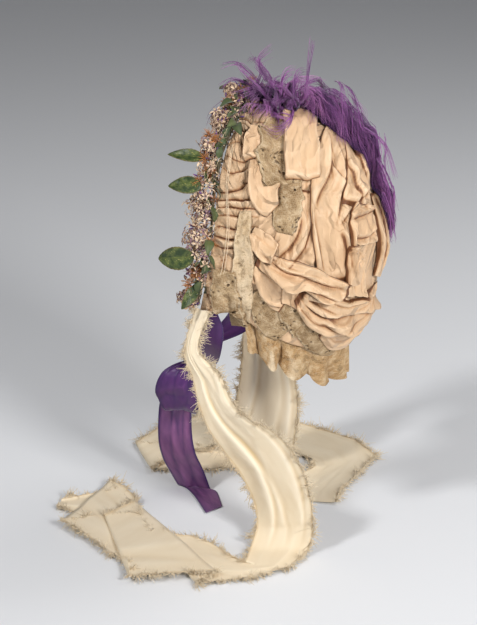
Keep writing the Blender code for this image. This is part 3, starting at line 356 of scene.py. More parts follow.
class BonnetSizes(bpy.types.PropertyGroup):
    """Sizes of the bonnet's pieces."""

    crown_half_width: length("Crown half width", "Half the crown's width, ear to ear", 0.080)
    crown_half_depth: length("Crown half depth", "Half the crown's depth, face to back", 0.087)
    crown_half_height: length("Crown half height", "Half the crown's height", 0.126)
    crown_behind_seat: length("Crown behind seat", "Crown's centre behind the head seat", 0.018)
    crown_above_seat: length("Crown above seat", "Crown's top above the head seat", 0.005)
    crown_wall: length("Crown wall", "Thickness of the crown's wall", 0.002)
    seam_rise: length("Seam rise", "How far the crown stands up at the brim's seam", 0.014)
    brim_half_width: length("Brim half width", "Half the width of the brim's arch", 0.084)
    brim_half_height: length("Brim half height", "Half the height of the brim's arch", 0.143)
    brim_reach: length("Brim reach", "How far the brim reaches forward", 0.060)
    brim_wall: length("Brim wall", "Thickness of the brim", 0.002)
    brim_bulge: length("Brim bulge", "How far the brim swells between its edges", 0.004)
    brim_lowest: FloatProperty(name="Brim lowest", description="Degrees at which the brim ends",
                               default=-18.0)
    rib_height: length("Rib height", "Height of the brim's ruching", 0.0050)
    ruffle_depth: length("Ruffle depth", "How far the nape frill hangs", 0.034)
    ruffle_tuck: length("Ruffle tuck", "How far the frill runs up inside", 0.006)
    ruffle_flute: length("Ruffle flute", "Depth of the frill's flutes", 0.0035)
    loop_height: length("Loop height", "How far silk loops stand off the crown", 0.0075)
    lace_height: length("Lace height", "How far lace stands off the crown", 0.0030)
    pleat_depth: length("Pleat depth", "Depth of the silk's folds", 0.0021)
    plume_height: length("Plume height", "Height of the plume over the crown", 0.015)
    plume_reach: length("Plume reach", "Length that the plume's curls are shares of", 0.100)
    barb: length("Barb radius", "Radius of one strand of the plume at its root", 0.00042)
    stem_radius: length("Stem radius", "Radius of the wreath's wire", 0.0016)
    head_radius: length("Floret head radius", "Radius of a head of florets", 0.0118)
    sprig_radius: length("Sprig radius", "Radius of a fluffy sprig", 0.0074)
    leaf_length: length("Leaf length", "Length of a leaf with its stalk", 0.034)
    floor_depth: length("Floor depth", "Depth of the floor below the head seat", 0.396)
    tie_spread: length("Tie spread", "Length that the ties' places are shares of", 0.200)
    tie_layer: length("Tie layer", "Height of one layer of a folded tie", 0.0021)
    tie_pleat: length("Tie pleat", "Depth of a hanging tie's folds", 0.0050)
    fringe: length("Fringe", "Length of the frayed fringe", 0.0085)
    chin_drop: length("Chin drop", "Depth of the chin ribbon below the head seat", 0.236)
    chin_forward: length("Chin forward", "How far forward the chin ribbon's knot is", 0.076)
    ribbon_width: length("Ribbon width", "Width of the purple ribbon", 0.028)
    knot_radius: length("Knot radius", "Radius of the bow's knot", 0.008)
    bow_size: length("Bow size", "Length that the bow's places are shares of", 0.060)
    barbs: IntProperty(name="Barbs", description="Strands in the plume's fall", default=2300)
    florets: IntProperty(name="Florets", description="Small florets on one head", default=32)


class BonnetColours(bpy.types.PropertyGroup):
    """Colours of the bonnet's cloths, feather and flowers."""

    silk_light: colour("Silk light", "Silk satin where it stands proud", 0.74, 0.50, 0.30)
    # The second silk colour is painted shade in the silk's folds and creases; it also tints the silk's faint
    # random mottle.
    silk_shade_and_mottle: colour("Silk deep", "Silk satin in the folds", 0.40, 0.17, 0.055)
    lace_light: colour("Lace light", "Threads of the lace", 0.50, 0.345, 0.19)
    lace_dark: colour("Lace dark", "Ground and age marks of the lace", 0.27, 0.165, 0.075)
    tie_light: colour("Tie light", "Plain silk of the ties", 0.91, 0.80, 0.62)
    # The second tie colour is painted shade in the ties' folds; it also tints their random mottle and their
    # long edges.
    tie_shade_and_mottle: colour("Tie deep", "Ties' silk in the folds", 0.58, 0.40, 0.18)
    fringe_tint: colour("Fringe", "Frayed threads", 0.66, 0.52, 0.33)
    purple_light: colour("Purple light", "Ribbon where light catches it", 0.12, 0.032, 0.17)
    # The dark purple is also painted shade in the ribbon's folds.
    purple_dark: colour("Purple dark", "Ribbon's body and selvedge", 0.045, 0.012, 0.10)
    plume_light: colour("Plume light", "Pale strands of the plume", 0.36, 0.11, 0.37)
    plume_dark: colour("Plume dark", "Deep strands of the plume", 0.030, 0.005, 0.060)
    petal: colour("Petal", "Floret petals", 0.76, 0.57, 0.39)
    petal_edge: colour("Petal edge", "Lilac and brown at the florets' hearts", 0.22, 0.10, 0.16)
    sprig_light: colour("Sprig light", "Fluffy sprigs", 0.64, 0.24, 0.045)
    sprig_dark: colour("Sprig dark", "Roots of the sprigs", 0.22, 0.08, 0.03)
    leaf_light: colour("Leaf light", "Leaves' veins and speckles", 0.14, 0.17, 0.04)
    leaf_dark: colour("Leaf dark", "Leaves", 0.022, 0.045, 0.010)


def sizes():
    """The sizes as set in the scene."""
    return bpy.context.scene.bonnet_sizes


def tints():
    """The colours as set in the scene."""
    return bpy.context.scene.bonnet_colours


def unit(vectors):
    """Vectors of length one."""
    return vectors / np.maximum(np.linalg.norm(vectors, axis=-1, keepdims=True), 1e-9)


def smooth(value, low, high):
    """Smooth step from 0 at low to 1 at high."""
    t = np.clip((value - low) / (high - low), 0, 1)
    return t * t * (3 - 2 * t)


def through(rows, count):
    """Smooth curve through the rows: cubic pieces with slopes from the neighbouring rows."""
    rows = np.asarray(rows, float)
    last = len(rows) - 1
    place = np.linspace(0, last, count)
    start = np.minimum(place.astype(int), last - 1)
    t = (place - start)[:, None]
    first = rows[start]
    second = rows[start + 1]
    slope_first = (second - rows[np.maximum(start - 1, 0)]) / 2
    slope_second = (rows[np.minimum(start + 2, last)] - first) / 2
    rise = 3 * t**2 - 2 * t**3
    return (first * (1 - rise) + second * rise
            + slope_first * (t**3 - 2 * t**2 + t) + slope_second * (t**3 - t**2))


def walked(points):
    """Distance along a line of points, from 0."""
    return np.concatenate([[0], np.cumsum(np.linalg.norm(np.diff(points, axis=0), axis=1))])


def sampled(at, stops, table):
    """Rows of a table at these places between its stops."""
    return np.stack([np.interp(at, stops, column) for column in table.T], -1)


def beside(line, half, v):
    """Degrees back and up at v times half the width to the side of a line in degrees."""
    step = np.gradient(line[:, :2], axis=0)
    lateral = unit(np.stack([-step[:, 1], step[:, 0]], -1))
    return (line[:, 0, None] + lateral[:, 0, None] * half * v,
            line[:, 1, None] + lateral[:, 1, None] * half * v)


def knife_fold(apart, width, climb, drop, foot, hollow, sink):
    """A fold's height across it: a gentle climb, a sharp drop and a hollow at its foot.

    The lengths after the width are shares of it, and sink is the depth of the hollow.
    """
    ridge = (np.exp(-(np.minimum(apart, 0) / (width * climb)) ** 2)
             * np.exp(-(np.maximum(apart, 0) / (width * drop)) ** 2))
    return ridge - sink * np.exp(-((apart - width * foot) / (width * hollow)) ** 2)


def straight(rows, pieces):
    """Straight lines between the rows, each cut into the same number of pieces."""
    rows = np.asarray(rows, float)
    t = np.arange(pieces)[None, :, None] / pieces
    cut = rows[:-1, None] * (1 - t) + rows[1:, None] * t
    return np.vstack([cut.reshape(-1, rows.shape[1]), rows[-1:]])


def ripples(x, y, seed, waves=7):
    """Uneven wrinkles from -1 to 1: a sum of sines whose directions and phases come from a seed."""
    draw = np.random.default_rng(seed)
    total = 0.0
    bend = 0.6 * np.sin(x * 1.7 + draw.uniform(0, 6)) * np.sin(y * 1.3 + draw.uniform(0, 6))
    for _ in range(waves):
        way = draw.uniform(0, np.pi)
        pitch = draw.uniform(0.7, 2.2)
        total = total + np.sin((x * np.cos(way) + y * np.sin(way)) * pitch * 2
                               + bend * 3 + draw.uniform(0, 6.3)) / waves
    return total * 1.6


def creases(x, y, seed, waves=5):
    """Sharp creases from 0 to 1 on a soft ground: the crests of bent sines, thinned by a power.

    The sines are bent by slower ones, so that no two creases run parallel.
    """
    draw = np.random.default_rng(seed + 100)
    total = 0.0
    slow = np.sin(x * 0.9 + draw.uniform(0, 6)) + np.sin(y * 0.7 + draw.uniform(0, 6))
    for number in range(waves):
        way = draw.uniform(0, np.pi)
        pitch = draw.uniform(0.8, 1.9)
        phase = (x * np.cos(way) + y * np.sin(way)) * pitch + slow * draw.uniform(0.6, 1.5)
        crest = (1 - np.abs(np.sin(phase + draw.uniform(0, 3)))) ** 3
        total = total + crest * smooth(np.sin(phase * 0.37 + slow + number), -0.4, 0.5)
    return total * 0.6


def facets(x, y, seed):
    """Crushed silk: flat facets that meet in sharp creases, about -1 to 1.

    Two scatters of points are drawn. The squared distance to the nearest point of one, less that
    to the nearest point of the other, is flat between creases, because the squares cancel.
    """
    draw = np.random.default_rng(seed + 500)
    x, y = np.broadcast_arrays(x, y)
    here = np.stack([x, y], -1)
    low, high = here.reshape(-1, 2).min(0) - 1, here.reshape(-1, 2).max(0) + 1
    count = int(np.clip((high - low).prod(), 6, 400))
    nearest = []
    for _ in range(2):
        points = draw.uniform(low, high, (count, 2))
        apart = ((here[..., None, :] - points) ** 2).sum(-1)
        nearest.append(apart.min(-1))
    return np.clip((nearest[0] - nearest[1]) * 1.6, -1.4, 1.4)


def crown_radii():
    """The crown's three half sizes."""
    s = sizes()
    return np.array([s.crown_half_width, s.crown_half_depth, s.crown_half_height])


def crown_centre():
    """The middle of the crown's egg form."""
    s = sizes()
    return np.array([0.0, s.crown_behind_seat, s.crown_above_seat - s.crown_half_height])


def from_pole(away, turn):
    """Direction at these angles out from the crown's back pole and round it from the left."""
    return np.stack([np.sin(away) * np.cos(turn), np.cos(away) + 0 * turn, np.sin(away) * np.sin(turn)], -1)


def seam_swell(share):
    """How the rise at the seam grows, for shares of the way from the back pole to the edge."""
    return np.clip((share - 0.55) / 0.45, 0, 1) ** 2


def crown_direction(side, back, up):
    """Direction from the crown's centre, at degrees back and up from the ear on that side."""
    away = np.radians(np.hypot(back, up))
    turn = np.arctan2(up, back)
    return np.stack([side * np.cos(away), np.sin(away) * np.cos(turn), np.sin(away) * np.sin(turn)], -1)


def crown_point(direction, lift):
    """Point over the crown's egg form, lifted straight out from its centre."""
    shell = crown_radii() * direction
    size = np.linalg.norm(shell, axis=-1, keepdims=True)
    return crown_centre() + shell * (1 + np.asarray(lift)[..., None] / size)


def crown_place(side, points):
    """Degrees back and up from the ear, and the lift, of any points: the reverse of the above."""
    arm = points - crown_centre()
    stretched = arm / crown_radii()
    size = np.linalg.norm(stretched, axis=-1)
    away = np.degrees(np.arccos(np.clip(side * stretched[..., 0] / size, -1, 1)))
    turn = np.arctan2(stretched[..., 2], stretched[..., 1])
    lift = np.linalg.norm(arm, axis=-1) * (1 - 1 / size)
    return away * np.cos(turn), away * np.sin(turn), lift


class Layers:
    """The highest lift of what already lies on the crown, over a flat map of degrees from an ear."""

    step = 0.75
    half = 160

    def __init__(self, side):
        self.side = side
        self.lift = np.zeros((2 * self.half + 1, 2 * self.half + 1))

    def cell(self, degrees):
        """Row or column of the map for these degrees."""
        return np.clip(np.rint(degrees / self.step).astype(int) + self.half, 0, 2 * self.half)

    def cover(self, grid, fill=2):
        """Adds a piece: its grid is filled in finely and the map keeps the highest lift."""
        rows, columns = grid.shape[:2]
        down = np.linspace(0, rows - 1, (rows - 1) * fill + 1)
        over = np.linspace(0, columns - 1, (columns - 1) * fill + 1)
        i = np.minimum(down.astype(int), rows - 2)
        j = np.minimum(over.astype(int), columns - 2)
        s = (down - i)[:, None, None]
        t = (over - j)[None, :, None]
        near = grid[i][:, j] * (1 - t) + grid[i][:, j + 1] * t
        far = grid[i + 1][:, j] * (1 - t) + grid[i + 1][:, j + 1] * t
        back, up, lift = crown_place(self.side, near * (1 - s) + far * s)
        inside = np.hypot(back, up) < self.step * self.half
        np.maximum.at(self.lift, (self.cell(back[inside]), self.cell(up[inside])), lift[inside])

    def top(self, back, up, reach, blur=0.0):
        """Highest lift within a reach, in degrees, of each place, averaged over a blur."""
        spread = self.lift
        for width, gather in ((reach, np.max), (blur, np.mean)):
            cells = int(round(width / self.step))
            if cells < 1:
                continue
            for axis in (0, 1):
                moved = [np.roll(spread, k, axis) for k in range(-cells, cells + 1)]
                spread = gather(moved, axis=0)
        x = np.clip(back / self.step + self.half, 0, 2 * self.half - 1.001)
        y = np.clip(up / self.step + self.half, 0, 2 * self.half - 1.001)
        i, j = x.astype(int), y.astype(int)
        s, t = x - i, y - j
        return ((spread[i, j] * (1 - s) + spread[i + 1, j] * s) * (1 - t)
                + (spread[i, j + 1] * (1 - s) + spread[i + 1, j + 1] * s) * t)


LEFT, RIGHT = Layers(1), Layers(-1)


def crown_edge(around):
    """Degrees from the back pole and rise at the crown's edge, the same on both sides."""
    half = np.where(np.cos(np.radians(around)) >= 0, around, 180 - around)
    half = (half + 180) % 360 - 180
    reach = np.interp(half, EDGE[:, 0], EDGE[:, 1])
    rise = np.interp(half, EDGE[:, 0], EDGE[:, 2]) * sizes().seam_rise
    return reach, rise


def brim_point(around, across, lift=0.0):
    """Brim's middle, from the crown's edge (across 0) to the front edge (across 1)."""
    s = sizes()
    around, across = np.broadcast_arrays(np.asarray(around, float), np.asarray(across, float))
    reach, rise = crown_edge(around)
    away = np.radians(reach)
    turn = np.radians(around)
    way = from_pole(away, turn)
    seam = crown_point(way, rise - s.crown_wall / 2)
    seam[..., 1] -= s.brim_wall / 2 + GAP
    half = np.where(np.cos(turn) >= 0, around, 180 - around)
    forward = np.interp(half, FRONT[:, 0], FRONT[:, 1]) * s.brim_reach
    outward = np.stack([np.cos(turn), 0 * turn, np.sin(turn)], -1)
    front = crown_centre() + outward * np.array([s.brim_half_width, 0, s.brim_half_height])
    front[..., 1] -= forward
    up = s.brim_bulge * np.sin(np.pi * across) + lift
    return seam * (1 - across[..., None]) + front * across[..., None] + outward * up[..., None]


def fill_mesh(mesh, points, quads, triangles=None):
    """Puts arrays of points, quads and triangles into a mesh."""
    quads = np.asarray(quads, np.int32).reshape(-1, 4)
    triangles = np.zeros((0, 3), np.int32) if triangles is None else np.asarray(triangles, np.int32)
    corners = np.concatenate([quads.ravel(), triangles.ravel()])
    starts = np.concatenate([np.arange(len(quads)) * 4, len(quads) * 4 + np.arange(len(triangles)) * 3])
    mesh.vertices.add(points.size // 3)
    mesh.vertices.foreach_set("co", np.ascontiguousarray(points, np.float32).ravel())
    mesh.loops.add(len(corners))
    mesh.loops.foreach_set("vertex_index", corners)
    mesh.polygons.add(len(starts))
    mesh.polygons.foreach_set("loop_start", starts.astype(np.int32))
    mesh.update(calc_edges=True)
    mesh.validate()
    mesh.shade_smooth()


def set_values(mesh, shape, values):
    """Gives a mesh named values at its points, each spread over the shape of its grid of points."""
    for word, value in values.items():
        spread = np.ascontiguousarray(np.broadcast_to(value, shape), np.float32)
        mesh.attributes.new(word, "FLOAT", "POINT").data.foreach_set("value", spread.ravel())


def grid_quads(rows, columns, closed=False):
    """Quads between neighbouring rows and columns of a grid of points."""
    number = np.arange(rows * columns).reshape(rows, columns)
    if closed:
        number = np.column_stack([number, number[:, 0]])
    return np.stack([number[:-1, :-1], number[1:, :-1], number[1:, 1:], number[:-1, 1:]], -1).reshape(-1, 4)


def place(name, mesh, finish, slot_name, node=None):
    """Object with its finish that rides with the bonnet and stands for its plain solid."""
    mesh.materials.append(finish)
    made = bpy.data.objects.new(name, mesh)
    bpy.context.scene.collection.objects.link(made)
    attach(made, "root")
    if node:
        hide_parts(*([node] if isinstance(node, str) else node))
    return made


def cloth(name, grid, finish, slot_name, node=None, wall=0.0, closed=False, fold=None):
    """A grid of points as a sheet of cloth.

    The pattern map holds metres: the way along each row and each column, measured on the cloth.
    The edge value is 0 in the middle and 1 on the long edges. The fold value is given; the finishes paint
    shade where it is low and a highlight where it is high.
    """
    rows, columns = grid.shape[:2]
    wide = np.concatenate([grid, grid[:, :1]], axis=1) if closed else grid
    across = np.cumsum(np.linalg.norm(np.diff(wide, axis=1, prepend=wide[:, :1]), axis=-1), axis=1)
    along = np.cumsum(np.linalg.norm(np.diff(wide, axis=0, prepend=wide[:1]), axis=-1), axis=0)
    mesh = bpy.data.meshes.new(name)
    fill_mesh(mesh, grid, grid_quads(rows, columns, closed))
    number = np.arange(rows * wide.shape[1]).reshape(rows, -1)
    loops = np.stack([number[:-1, :-1], number[1:, :-1], number[1:, 1:], number[:-1, 1:]], -1).ravel()
    pattern = np.stack([across, along], -1).reshape(-1, 2)[loops]
    mesh.uv_layers.new(name="cloth").data.foreach_set("uv", pattern.astype(np.float32).ravel())
    edge = np.abs(np.linspace(-1, 1, columns))[None, :]
    set_values(mesh, (rows, columns), {"edge": edge, "fold": 0.0 if fold is None else fold})
    made = place(name, mesh, finish, slot_name, node)
    if wall:
        solid = made.modifiers.new("wall", "SOLIDIFY")
        solid.thickness = wall
        solid.offset = 0.0
    return made


def strands(name, paths, radius, finish, slot_name, node=None, sides=3, tip=0.25, shade=None):
    """Many tapered threads at once: a small ring of points carried along each path.

    The ring shrinks from the given radius at the root to the tip's share of it. The shade value
    is one number a thread, and the run value goes from 0 at the root to 1 at the tip.
    """
    count, steps = paths.shape[:2]
    radius = np.broadcast_to(radius, (count,))
    step = unit(np.gradient(paths, axis=1))
    side = unit(np.cross(step, np.array([0.31, 0.17, 0.93])))
    other = np.cross(step, side)
    turn = 2 * np.pi * np.arange(sides) / sides
    run = np.linspace(0, 1, steps)
    size = radius[:, None] * (1 - (1 - tip) * run[None, :] ** 1.5)
    ring = side[:, :, None] * np.cos(turn)[:, None] + other[:, :, None] * np.sin(turn)[:, None]
    grid = paths[:, :, None] + ring * size[:, :, None, None]
    number = np.arange(count * steps * sides).reshape(count, steps, sides)
    after = np.roll(number, -1, axis=2)
    quads = np.stack([number[:, :-1], after[:, :-1], after[:, 1:], number[:, 1:]], -1).reshape(-1, 4)
    first, last = number[:, 0], number[:, -1]
    if sides == 3:
        triangles = np.concatenate([first[:, ::-1], last]).reshape(-1, 3)
    else:
        quads = np.concatenate([quads, first[:, ::-1].reshape(-1, 4), last.reshape(-1, 4)])
        triangles = None
    mesh = bpy.data.meshes.new(name)
    fill_mesh(mesh, grid, quads, triangles)
    shade = np.random.default_rng(len(name) + count).random(count) if shade is None else shade
    set_values(mesh, grid.shape[:3], {"shade": shade[:, None, None], "run": run[None, :, None]})
    return place(name, mesh, finish, slot_name, node)


def opaque(colour):
    """A colour with full alpha, or a socket as it is."""
    return colour if isinstance(colour, bpy.types.NodeSocket) else (*colour[:3], 1.0)


class Finish:
    """A material being made from nodes: a Principled shader and short calls for what feeds it."""

    def __init__(self, name, roughness=0.6, **constants):
        self.made = bpy.data.materials.new(name)
        self.made.use_nodes = True
        self.nodes = self.made.node_tree.nodes
        self.links = self.made.node_tree.links
        self.shader = self.nodes["Principled BSDF"]
        self.shader.inputs["Roughness"].default_value = roughness
        for word, value in constants.items():
            self.shader.inputs[word.replace("_", " ")].default_value = value

    def node(self, kind, **settings):
        """A new node with its settings."""
        made = self.nodes.new(kind)
        for word, value in settings.items():
            setattr(made, word, value)
        return made

    def feed(self, socket, value):
        """Links a socket into another, or sets its number or colour."""
        if isinstance(value, bpy.types.NodeSocket):
            self.links.new(value, socket)
        else:
            socket.default_value = value

    def value(self, word):
        """A value that the mesh holds at its points."""
        return self.node("ShaderNodeAttribute", attribute_name=word).outputs["Fac"]

    def pattern(self, scale=(1.0, 1.0, 1.0), follow=True):
        """The cloth's own map in metres, or the object's place, stretched by a scale."""
        if follow:
            start = self.node("ShaderNodeUVMap", uv_map="cloth").outputs["UV"]
        else:
            start = self.node("ShaderNodeTexCoord").outputs["Object"]
        mapping = self.node("ShaderNodeMapping")
        self.feed(mapping.inputs["Vector"], start)
        mapping.inputs["Scale"].default_value = scale
        return mapping.outputs["Vector"]

    def moved(self, vector, shift):
        """The pattern moved by a shift."""
        made = self.node("ShaderNodeVectorMath", operation="ADD")
        self.feed(made.inputs[0], vector)
        self.feed(made.inputs[1], shift)
        return made.outputs["Vector"]

    def noise(self, vector, scale, detail=3.0, rough=0.55):
        """Cloudy noise."""
        made = self.node("ShaderNodeTexNoise")
        self.feed(made.inputs["Vector"], vector)
        made.inputs["Scale"].default_value = scale
        made.inputs["Detail"].default_value = detail
        made.inputs["Roughness"].default_value = rough
        return made.outputs["Fac"]

    def cells(self, vector, scale, feature="F1", output="Distance", uneven=1.0):
        """Cell pattern: the distance from each cell's middle or edge."""
        made = self.node("ShaderNodeTexVoronoi", feature=feature)
        self.feed(made.inputs["Vector"], vector)
        made.inputs["Scale"].default_value = scale
        made.inputs["Randomness"].default_value = uneven
        return made.outputs[output]

    def math(self, kind, first, second=0.0, clamp=False):
        """Arithmetic on two values."""
        made = self.node("ShaderNodeMath", operation=kind, use_clamp=clamp)
        self.feed(made.inputs[0], first)
        self.feed(made.inputs[1], second)
        return made.outputs[0]

    def span(self, value, low, high, to_low=0.0, to_high=1.0):
        """Carries a span of values to another span, and stops at its ends."""
        made = self.node("ShaderNodeMapRange")
        self.feed(made.inputs["Value"], value)
        for word, number in (("From Min", low), ("From Max", high), ("To Min", to_low), ("To Max", to_high)):
            made.inputs[word].default_value = number
        return made.outputs["Result"]

    def mix(self, share, first, second, blend="MIX"):
        """Mixes two colours by a share."""
        made = self.node("ShaderNodeMix", data_type="RGBA", blend_type=blend)
        self.feed(made.inputs[0], share)
        self.feed(made.inputs[6], opaque(first))
        self.feed(made.inputs[7], opaque(second))
        return made.outputs[2]

    def stain(self, base, tint, value, low, high, most=1.0):
        """Mixes a tint over the base as a value goes from low to high, up to the most."""
        return self.mix(self.span(value, low, high, 0.0, most), base, tint)

    def sum(self, first, second, share=1.0):
        """The first value and a share of the second."""
        return self.math("ADD", first, self.math("MULTIPLY", second, share))

    def bump(self, height, strength, distance):
        """Relief from a height value."""
        made = self.node("ShaderNodeBump")
        self.feed(made.inputs["Height"], height)
        made.inputs["Strength"].default_value = strength
        made.inputs["Distance"].default_value = distance
        self.links.new(made.outputs["Normal"], self.shader.inputs["Normal"])

    def colour(self, value):
        """Sets the base colour."""
        self.feed(self.shader.inputs["Base Color"], opaque(value))
        return self


def satin(name, light, shade_and_mottle, roughness=0.44):
    """Silk satin: crisp facets where it is crushed, painted shade in thin creases and in the folds, a painted
    highlight on the ridges, faint ageing.
    """
    f = Finish(name, roughness, Sheen_Weight=0.08, Sheen_Roughness=0.4, Specular_IOR_Level=0.38)
    fold = f.value("fold")
    cloud = f.noise(f.pattern(follow=False), 26.0, 4.0)
    way = f.pattern((1.0, 0.45, 1.0))
    warp = f.node("ShaderNodeTexNoise")
    f.feed(warp.inputs["Vector"], way)
    warp.inputs["Scale"].default_value = 60.0
    shift = f.node("ShaderNodeVectorMath", operation="SCALE")
    f.feed(shift.inputs[0], warp.outputs["Color"])
    shift.inputs["Scale"].default_value = 0.008
    bent = f.moved(way, shift.outputs["Vector"])
    # Thin curving lines along cell edges: painted shade for thin creases, also cut a little into the relief.
    seam = f.cells(bent, 70.0, "DISTANCE_TO_EDGE")
    line = f.math("MULTIPLY", f.span(seam, 0.0, 0.03, 1.0, 0.0), f.span(cloud, 0.52, 0.62), clamp=True)
    base = f.stain(light, shade_and_mottle, cloud, 0.42, 0.75, 0.16)
    # Painted shade: darker and browner where the fold value marks a valley, near black in the deepest.
    base = f.stain(base, shade_and_mottle, fold, -0.10, -0.70, 0.70)
    base = f.stain(base, (0.13, 0.04, 0.012), fold, -0.55, -1.0, 0.90)
    # Painted shade along the thin crease lines.
    base = f.mix(f.math("MULTIPLY", line, 0.35), base, shade_and_mottle)
    # Painted highlight: paler cream where the fold value marks a ridge.
    base = f.stain(base, (0.92, 0.71, 0.49), fold, 0.2, 0.9, 0.45)
    near = f.math("POWER", f.cells(bent, 70.0), 2.0)
    other = f.math("POWER", f.cells(f.moved(bent, (0.313, 0.171, 0.0)), 70.0), 2.0)
    flat = f.math("SUBTRACT", near, other)
    small = f.math("POWER", f.cells(bent, 170.0), 2.0)
    weft = f.noise(f.pattern((1400.0, 160.0, 1.0)), 2.0, 2.0)
    relief = f.sum(flat, small, 0.22)
    relief = f.sum(relief, weft, 0.025)
    relief = f.sum(relief, line, -0.15)
    f.bump(relief, 0.9, 0.0062)
    return f.colour(base).made


def lace_finish(name, light, dark, holes=0.8):
    """Aged machine lace: a fine speckle of threads, embossed motifs, groups of small holes painted near black
    as shade, painted shade in its folds and a painted highlight on its ridges.
    """
    f = Finish(name, 0.9, Specular_IOR_Level=0.12)
    way = f.pattern()
    speck = f.noise(way, 480.0, 3.0, 0.75)
    net = f.cells(way, 560.0, "DISTANCE_TO_EDGE", uneven=0.5)
    motif = f.noise(way, 130.0, 3.0, 0.6)
    dots = f.cells(way, 270.0, uneven=0.9)
    place = f.noise(f.pattern((1.0, 1.0, 1.0)), 55.0, 2.0)
    age = f.noise(f.pattern(follow=False), 50.0, 4.0, 0.6)
    hole = f.math("MULTIPLY", f.span(dots, 0.42, 0.30), f.span(place, 0.50, 0.56), clamp=True)
    hole = f.math("MULTIPLY", hole, holes)
    thread = f.span(net, 0.04, 0.16, 1.0, 0.0)
    base = f.stain(dark, light, age, 0.36, 0.66)
    base = f.stain(base, (0.84, 0.70, 0.50), speck, 0.58, 0.72, 0.55)
    base = f.stain(base, (0.17, 0.095, 0.035), speck, 0.42, 0.30, 0.70)
    base = f.stain(base, (0.78, 0.62, 0.42), motif, 0.53, 0.60, 0.35)
    base = f.stain(base, (0.17, 0.095, 0.035), motif, 0.45, 0.38, 0.55)
    base = f.mix(f.math("MULTIPLY", thread, 0.22), base, (0.80, 0.66, 0.47))
    # Painted shade in the holes: near black and half see-through.
    base = f.mix(hole, base, (0.035, 0.016, 0.006))
    # Painted shade in the valleys that the fold value marks, and a painted highlight on the ridges.
    base = f.stain(base, (0.13, 0.06, 0.02), f.value("fold"), -0.35, -1.0, 0.80)
    base = f.stain(base, (0.88, 0.75, 0.55), f.value("fold"), 0.2, 0.9, 0.50)
    f.feed(f.shader.inputs["Alpha"], f.span(hole, 0.5, 0.8, 1.0, 0.5))
    relief = f.math("SUBTRACT", f.sum(motif, speck, 0.6), hole)
    f.bump(relief, 0.8, 0.0022)
    return f.colour(base).made


def plain_silk(name, light, shade_and_mottle):
    """Plain silk of the ties: soft wrinkles, painted warm shade in the folds, a painted highlight on the
    ridges, darker along the long edges.
    """
    f = Finish(name, 0.62, Sheen_Weight=0.1, Specular_IOR_Level=0.25)
    # Painted shade: the second colour in the valleys that the fold value marks, the first on the ridges.
    fold = f.span(f.value("fold"), -0.9, 0.25)
    base = f.mix(fold, shade_and_mottle, light)
    cloud = f.noise(f.pattern((1.0, 0.4, 1.0)), 36.0, 4.0)
    base = f.stain(base, shade_and_mottle, cloud, 0.45, 0.75, 0.20)
    # Painted highlight on the ridges.
    base = f.stain(base, (0.96, 0.88, 0.71), f.value("fold"), 0.15, 0.9, 0.5)
    base = f.stain(base, shade_and_mottle, f.value("edge"), 0.93, 1.0, 0.6)
    weave = f.noise(f.pattern((1100.0, 1100.0, 1.0)), 1.2, 2.0)
    crush = f.node("ShaderNodeTexNoise", noise_type="RIDGED_MULTIFRACTAL")
    f.feed(crush.inputs["Vector"], f.pattern((1.0, 0.35, 1.0)))
    crush.inputs["Scale"].default_value = 55.0
    crush.inputs["Detail"].default_value = 3.0
    f.bump(f.sum(f.math("MULTIPLY", weave, 0.15), crush.outputs["Fac"], 0.5), 0.5, 0.0009)
    return f.colour(base).made


def sheer_ribbon(name, light, dark, cover=0.95):
    """Purple ribbon: a paler middle that light comes through, dark selvedges, fine ribs, painted shade in its
    folds and a painted highlight on its ridges.
    """
    f = Finish(name, 0.42, Sheen_Weight=0.5, Sheen_Roughness=0.35)
    edge = f.span(f.value("edge"), 0.84, 0.93)
    cloud = f.noise(f.pattern((1.0, 0.4, 1.0)), 60.0, 3.0)
    body = f.stain(dark, light, cloud, 0.20, 0.55)
    # Painted shade: the dark colour in the valleys that the fold value marks.
    body = f.stain(dark, body, f.value("fold"), -0.7, 0.4)
    # Painted highlight: paler violet on the ridges.
    body = f.stain(body, (0.36, 0.10, 0.42), f.value("fold"), 0.3, 1.0, 0.5)
    base = f.mix(edge, body, dark)
    f.feed(f.shader.inputs["Alpha"], f.span(f.value("edge"), 0.84, 0.93, cover, 1.0))
    ribs = f.noise(f.pattern((1400.0, 60.0, 1.0)), 1.0, 2.0)
    crush = f.noise(f.pattern((1.0, 0.5, 1.0)), 140.0, 4.0)
    f.bump(f.sum(crush, ribs, 0.3), 0.45, 0.0008)
    return f.colour(base).made


def thread_finish(name, light, dark, roughness=0.65):
    """Strands: each has its own shade, and its tip is paler than its root."""
    f = Finish(name, roughness, Sheen_Weight=0.3)
    share = f.math("ADD", f.math("MULTIPLY", f.value("shade"), 0.75),
                   f.math("MULTIPLY", f.value("run"), 0.35), clamp=True)
    return f.colour(f.mix(share, dark, light)).made


def plume_finish(name, light, dark):
    """Feather strands: each has its own shade, a painted pinkish highlight on the palest, paler towards the
    tip.
    """
    f = Finish(name, 0.55, Sheen_Weight=0.35, Sheen_Roughness=0.4)
    share = f.math("ADD", f.math("MULTIPLY", f.value("shade"), 0.72),
                   f.math("MULTIPLY", f.value("run"), 0.28), clamp=True)
    base = f.stain(dark, light, share, 0.05, 0.75)
    # Painted highlight: pinkish on the palest strands.
    base = f.stain(base, (0.62, 0.27, 0.54), share, 0.72, 1.0, 0.75)
    return f.colour(base).made


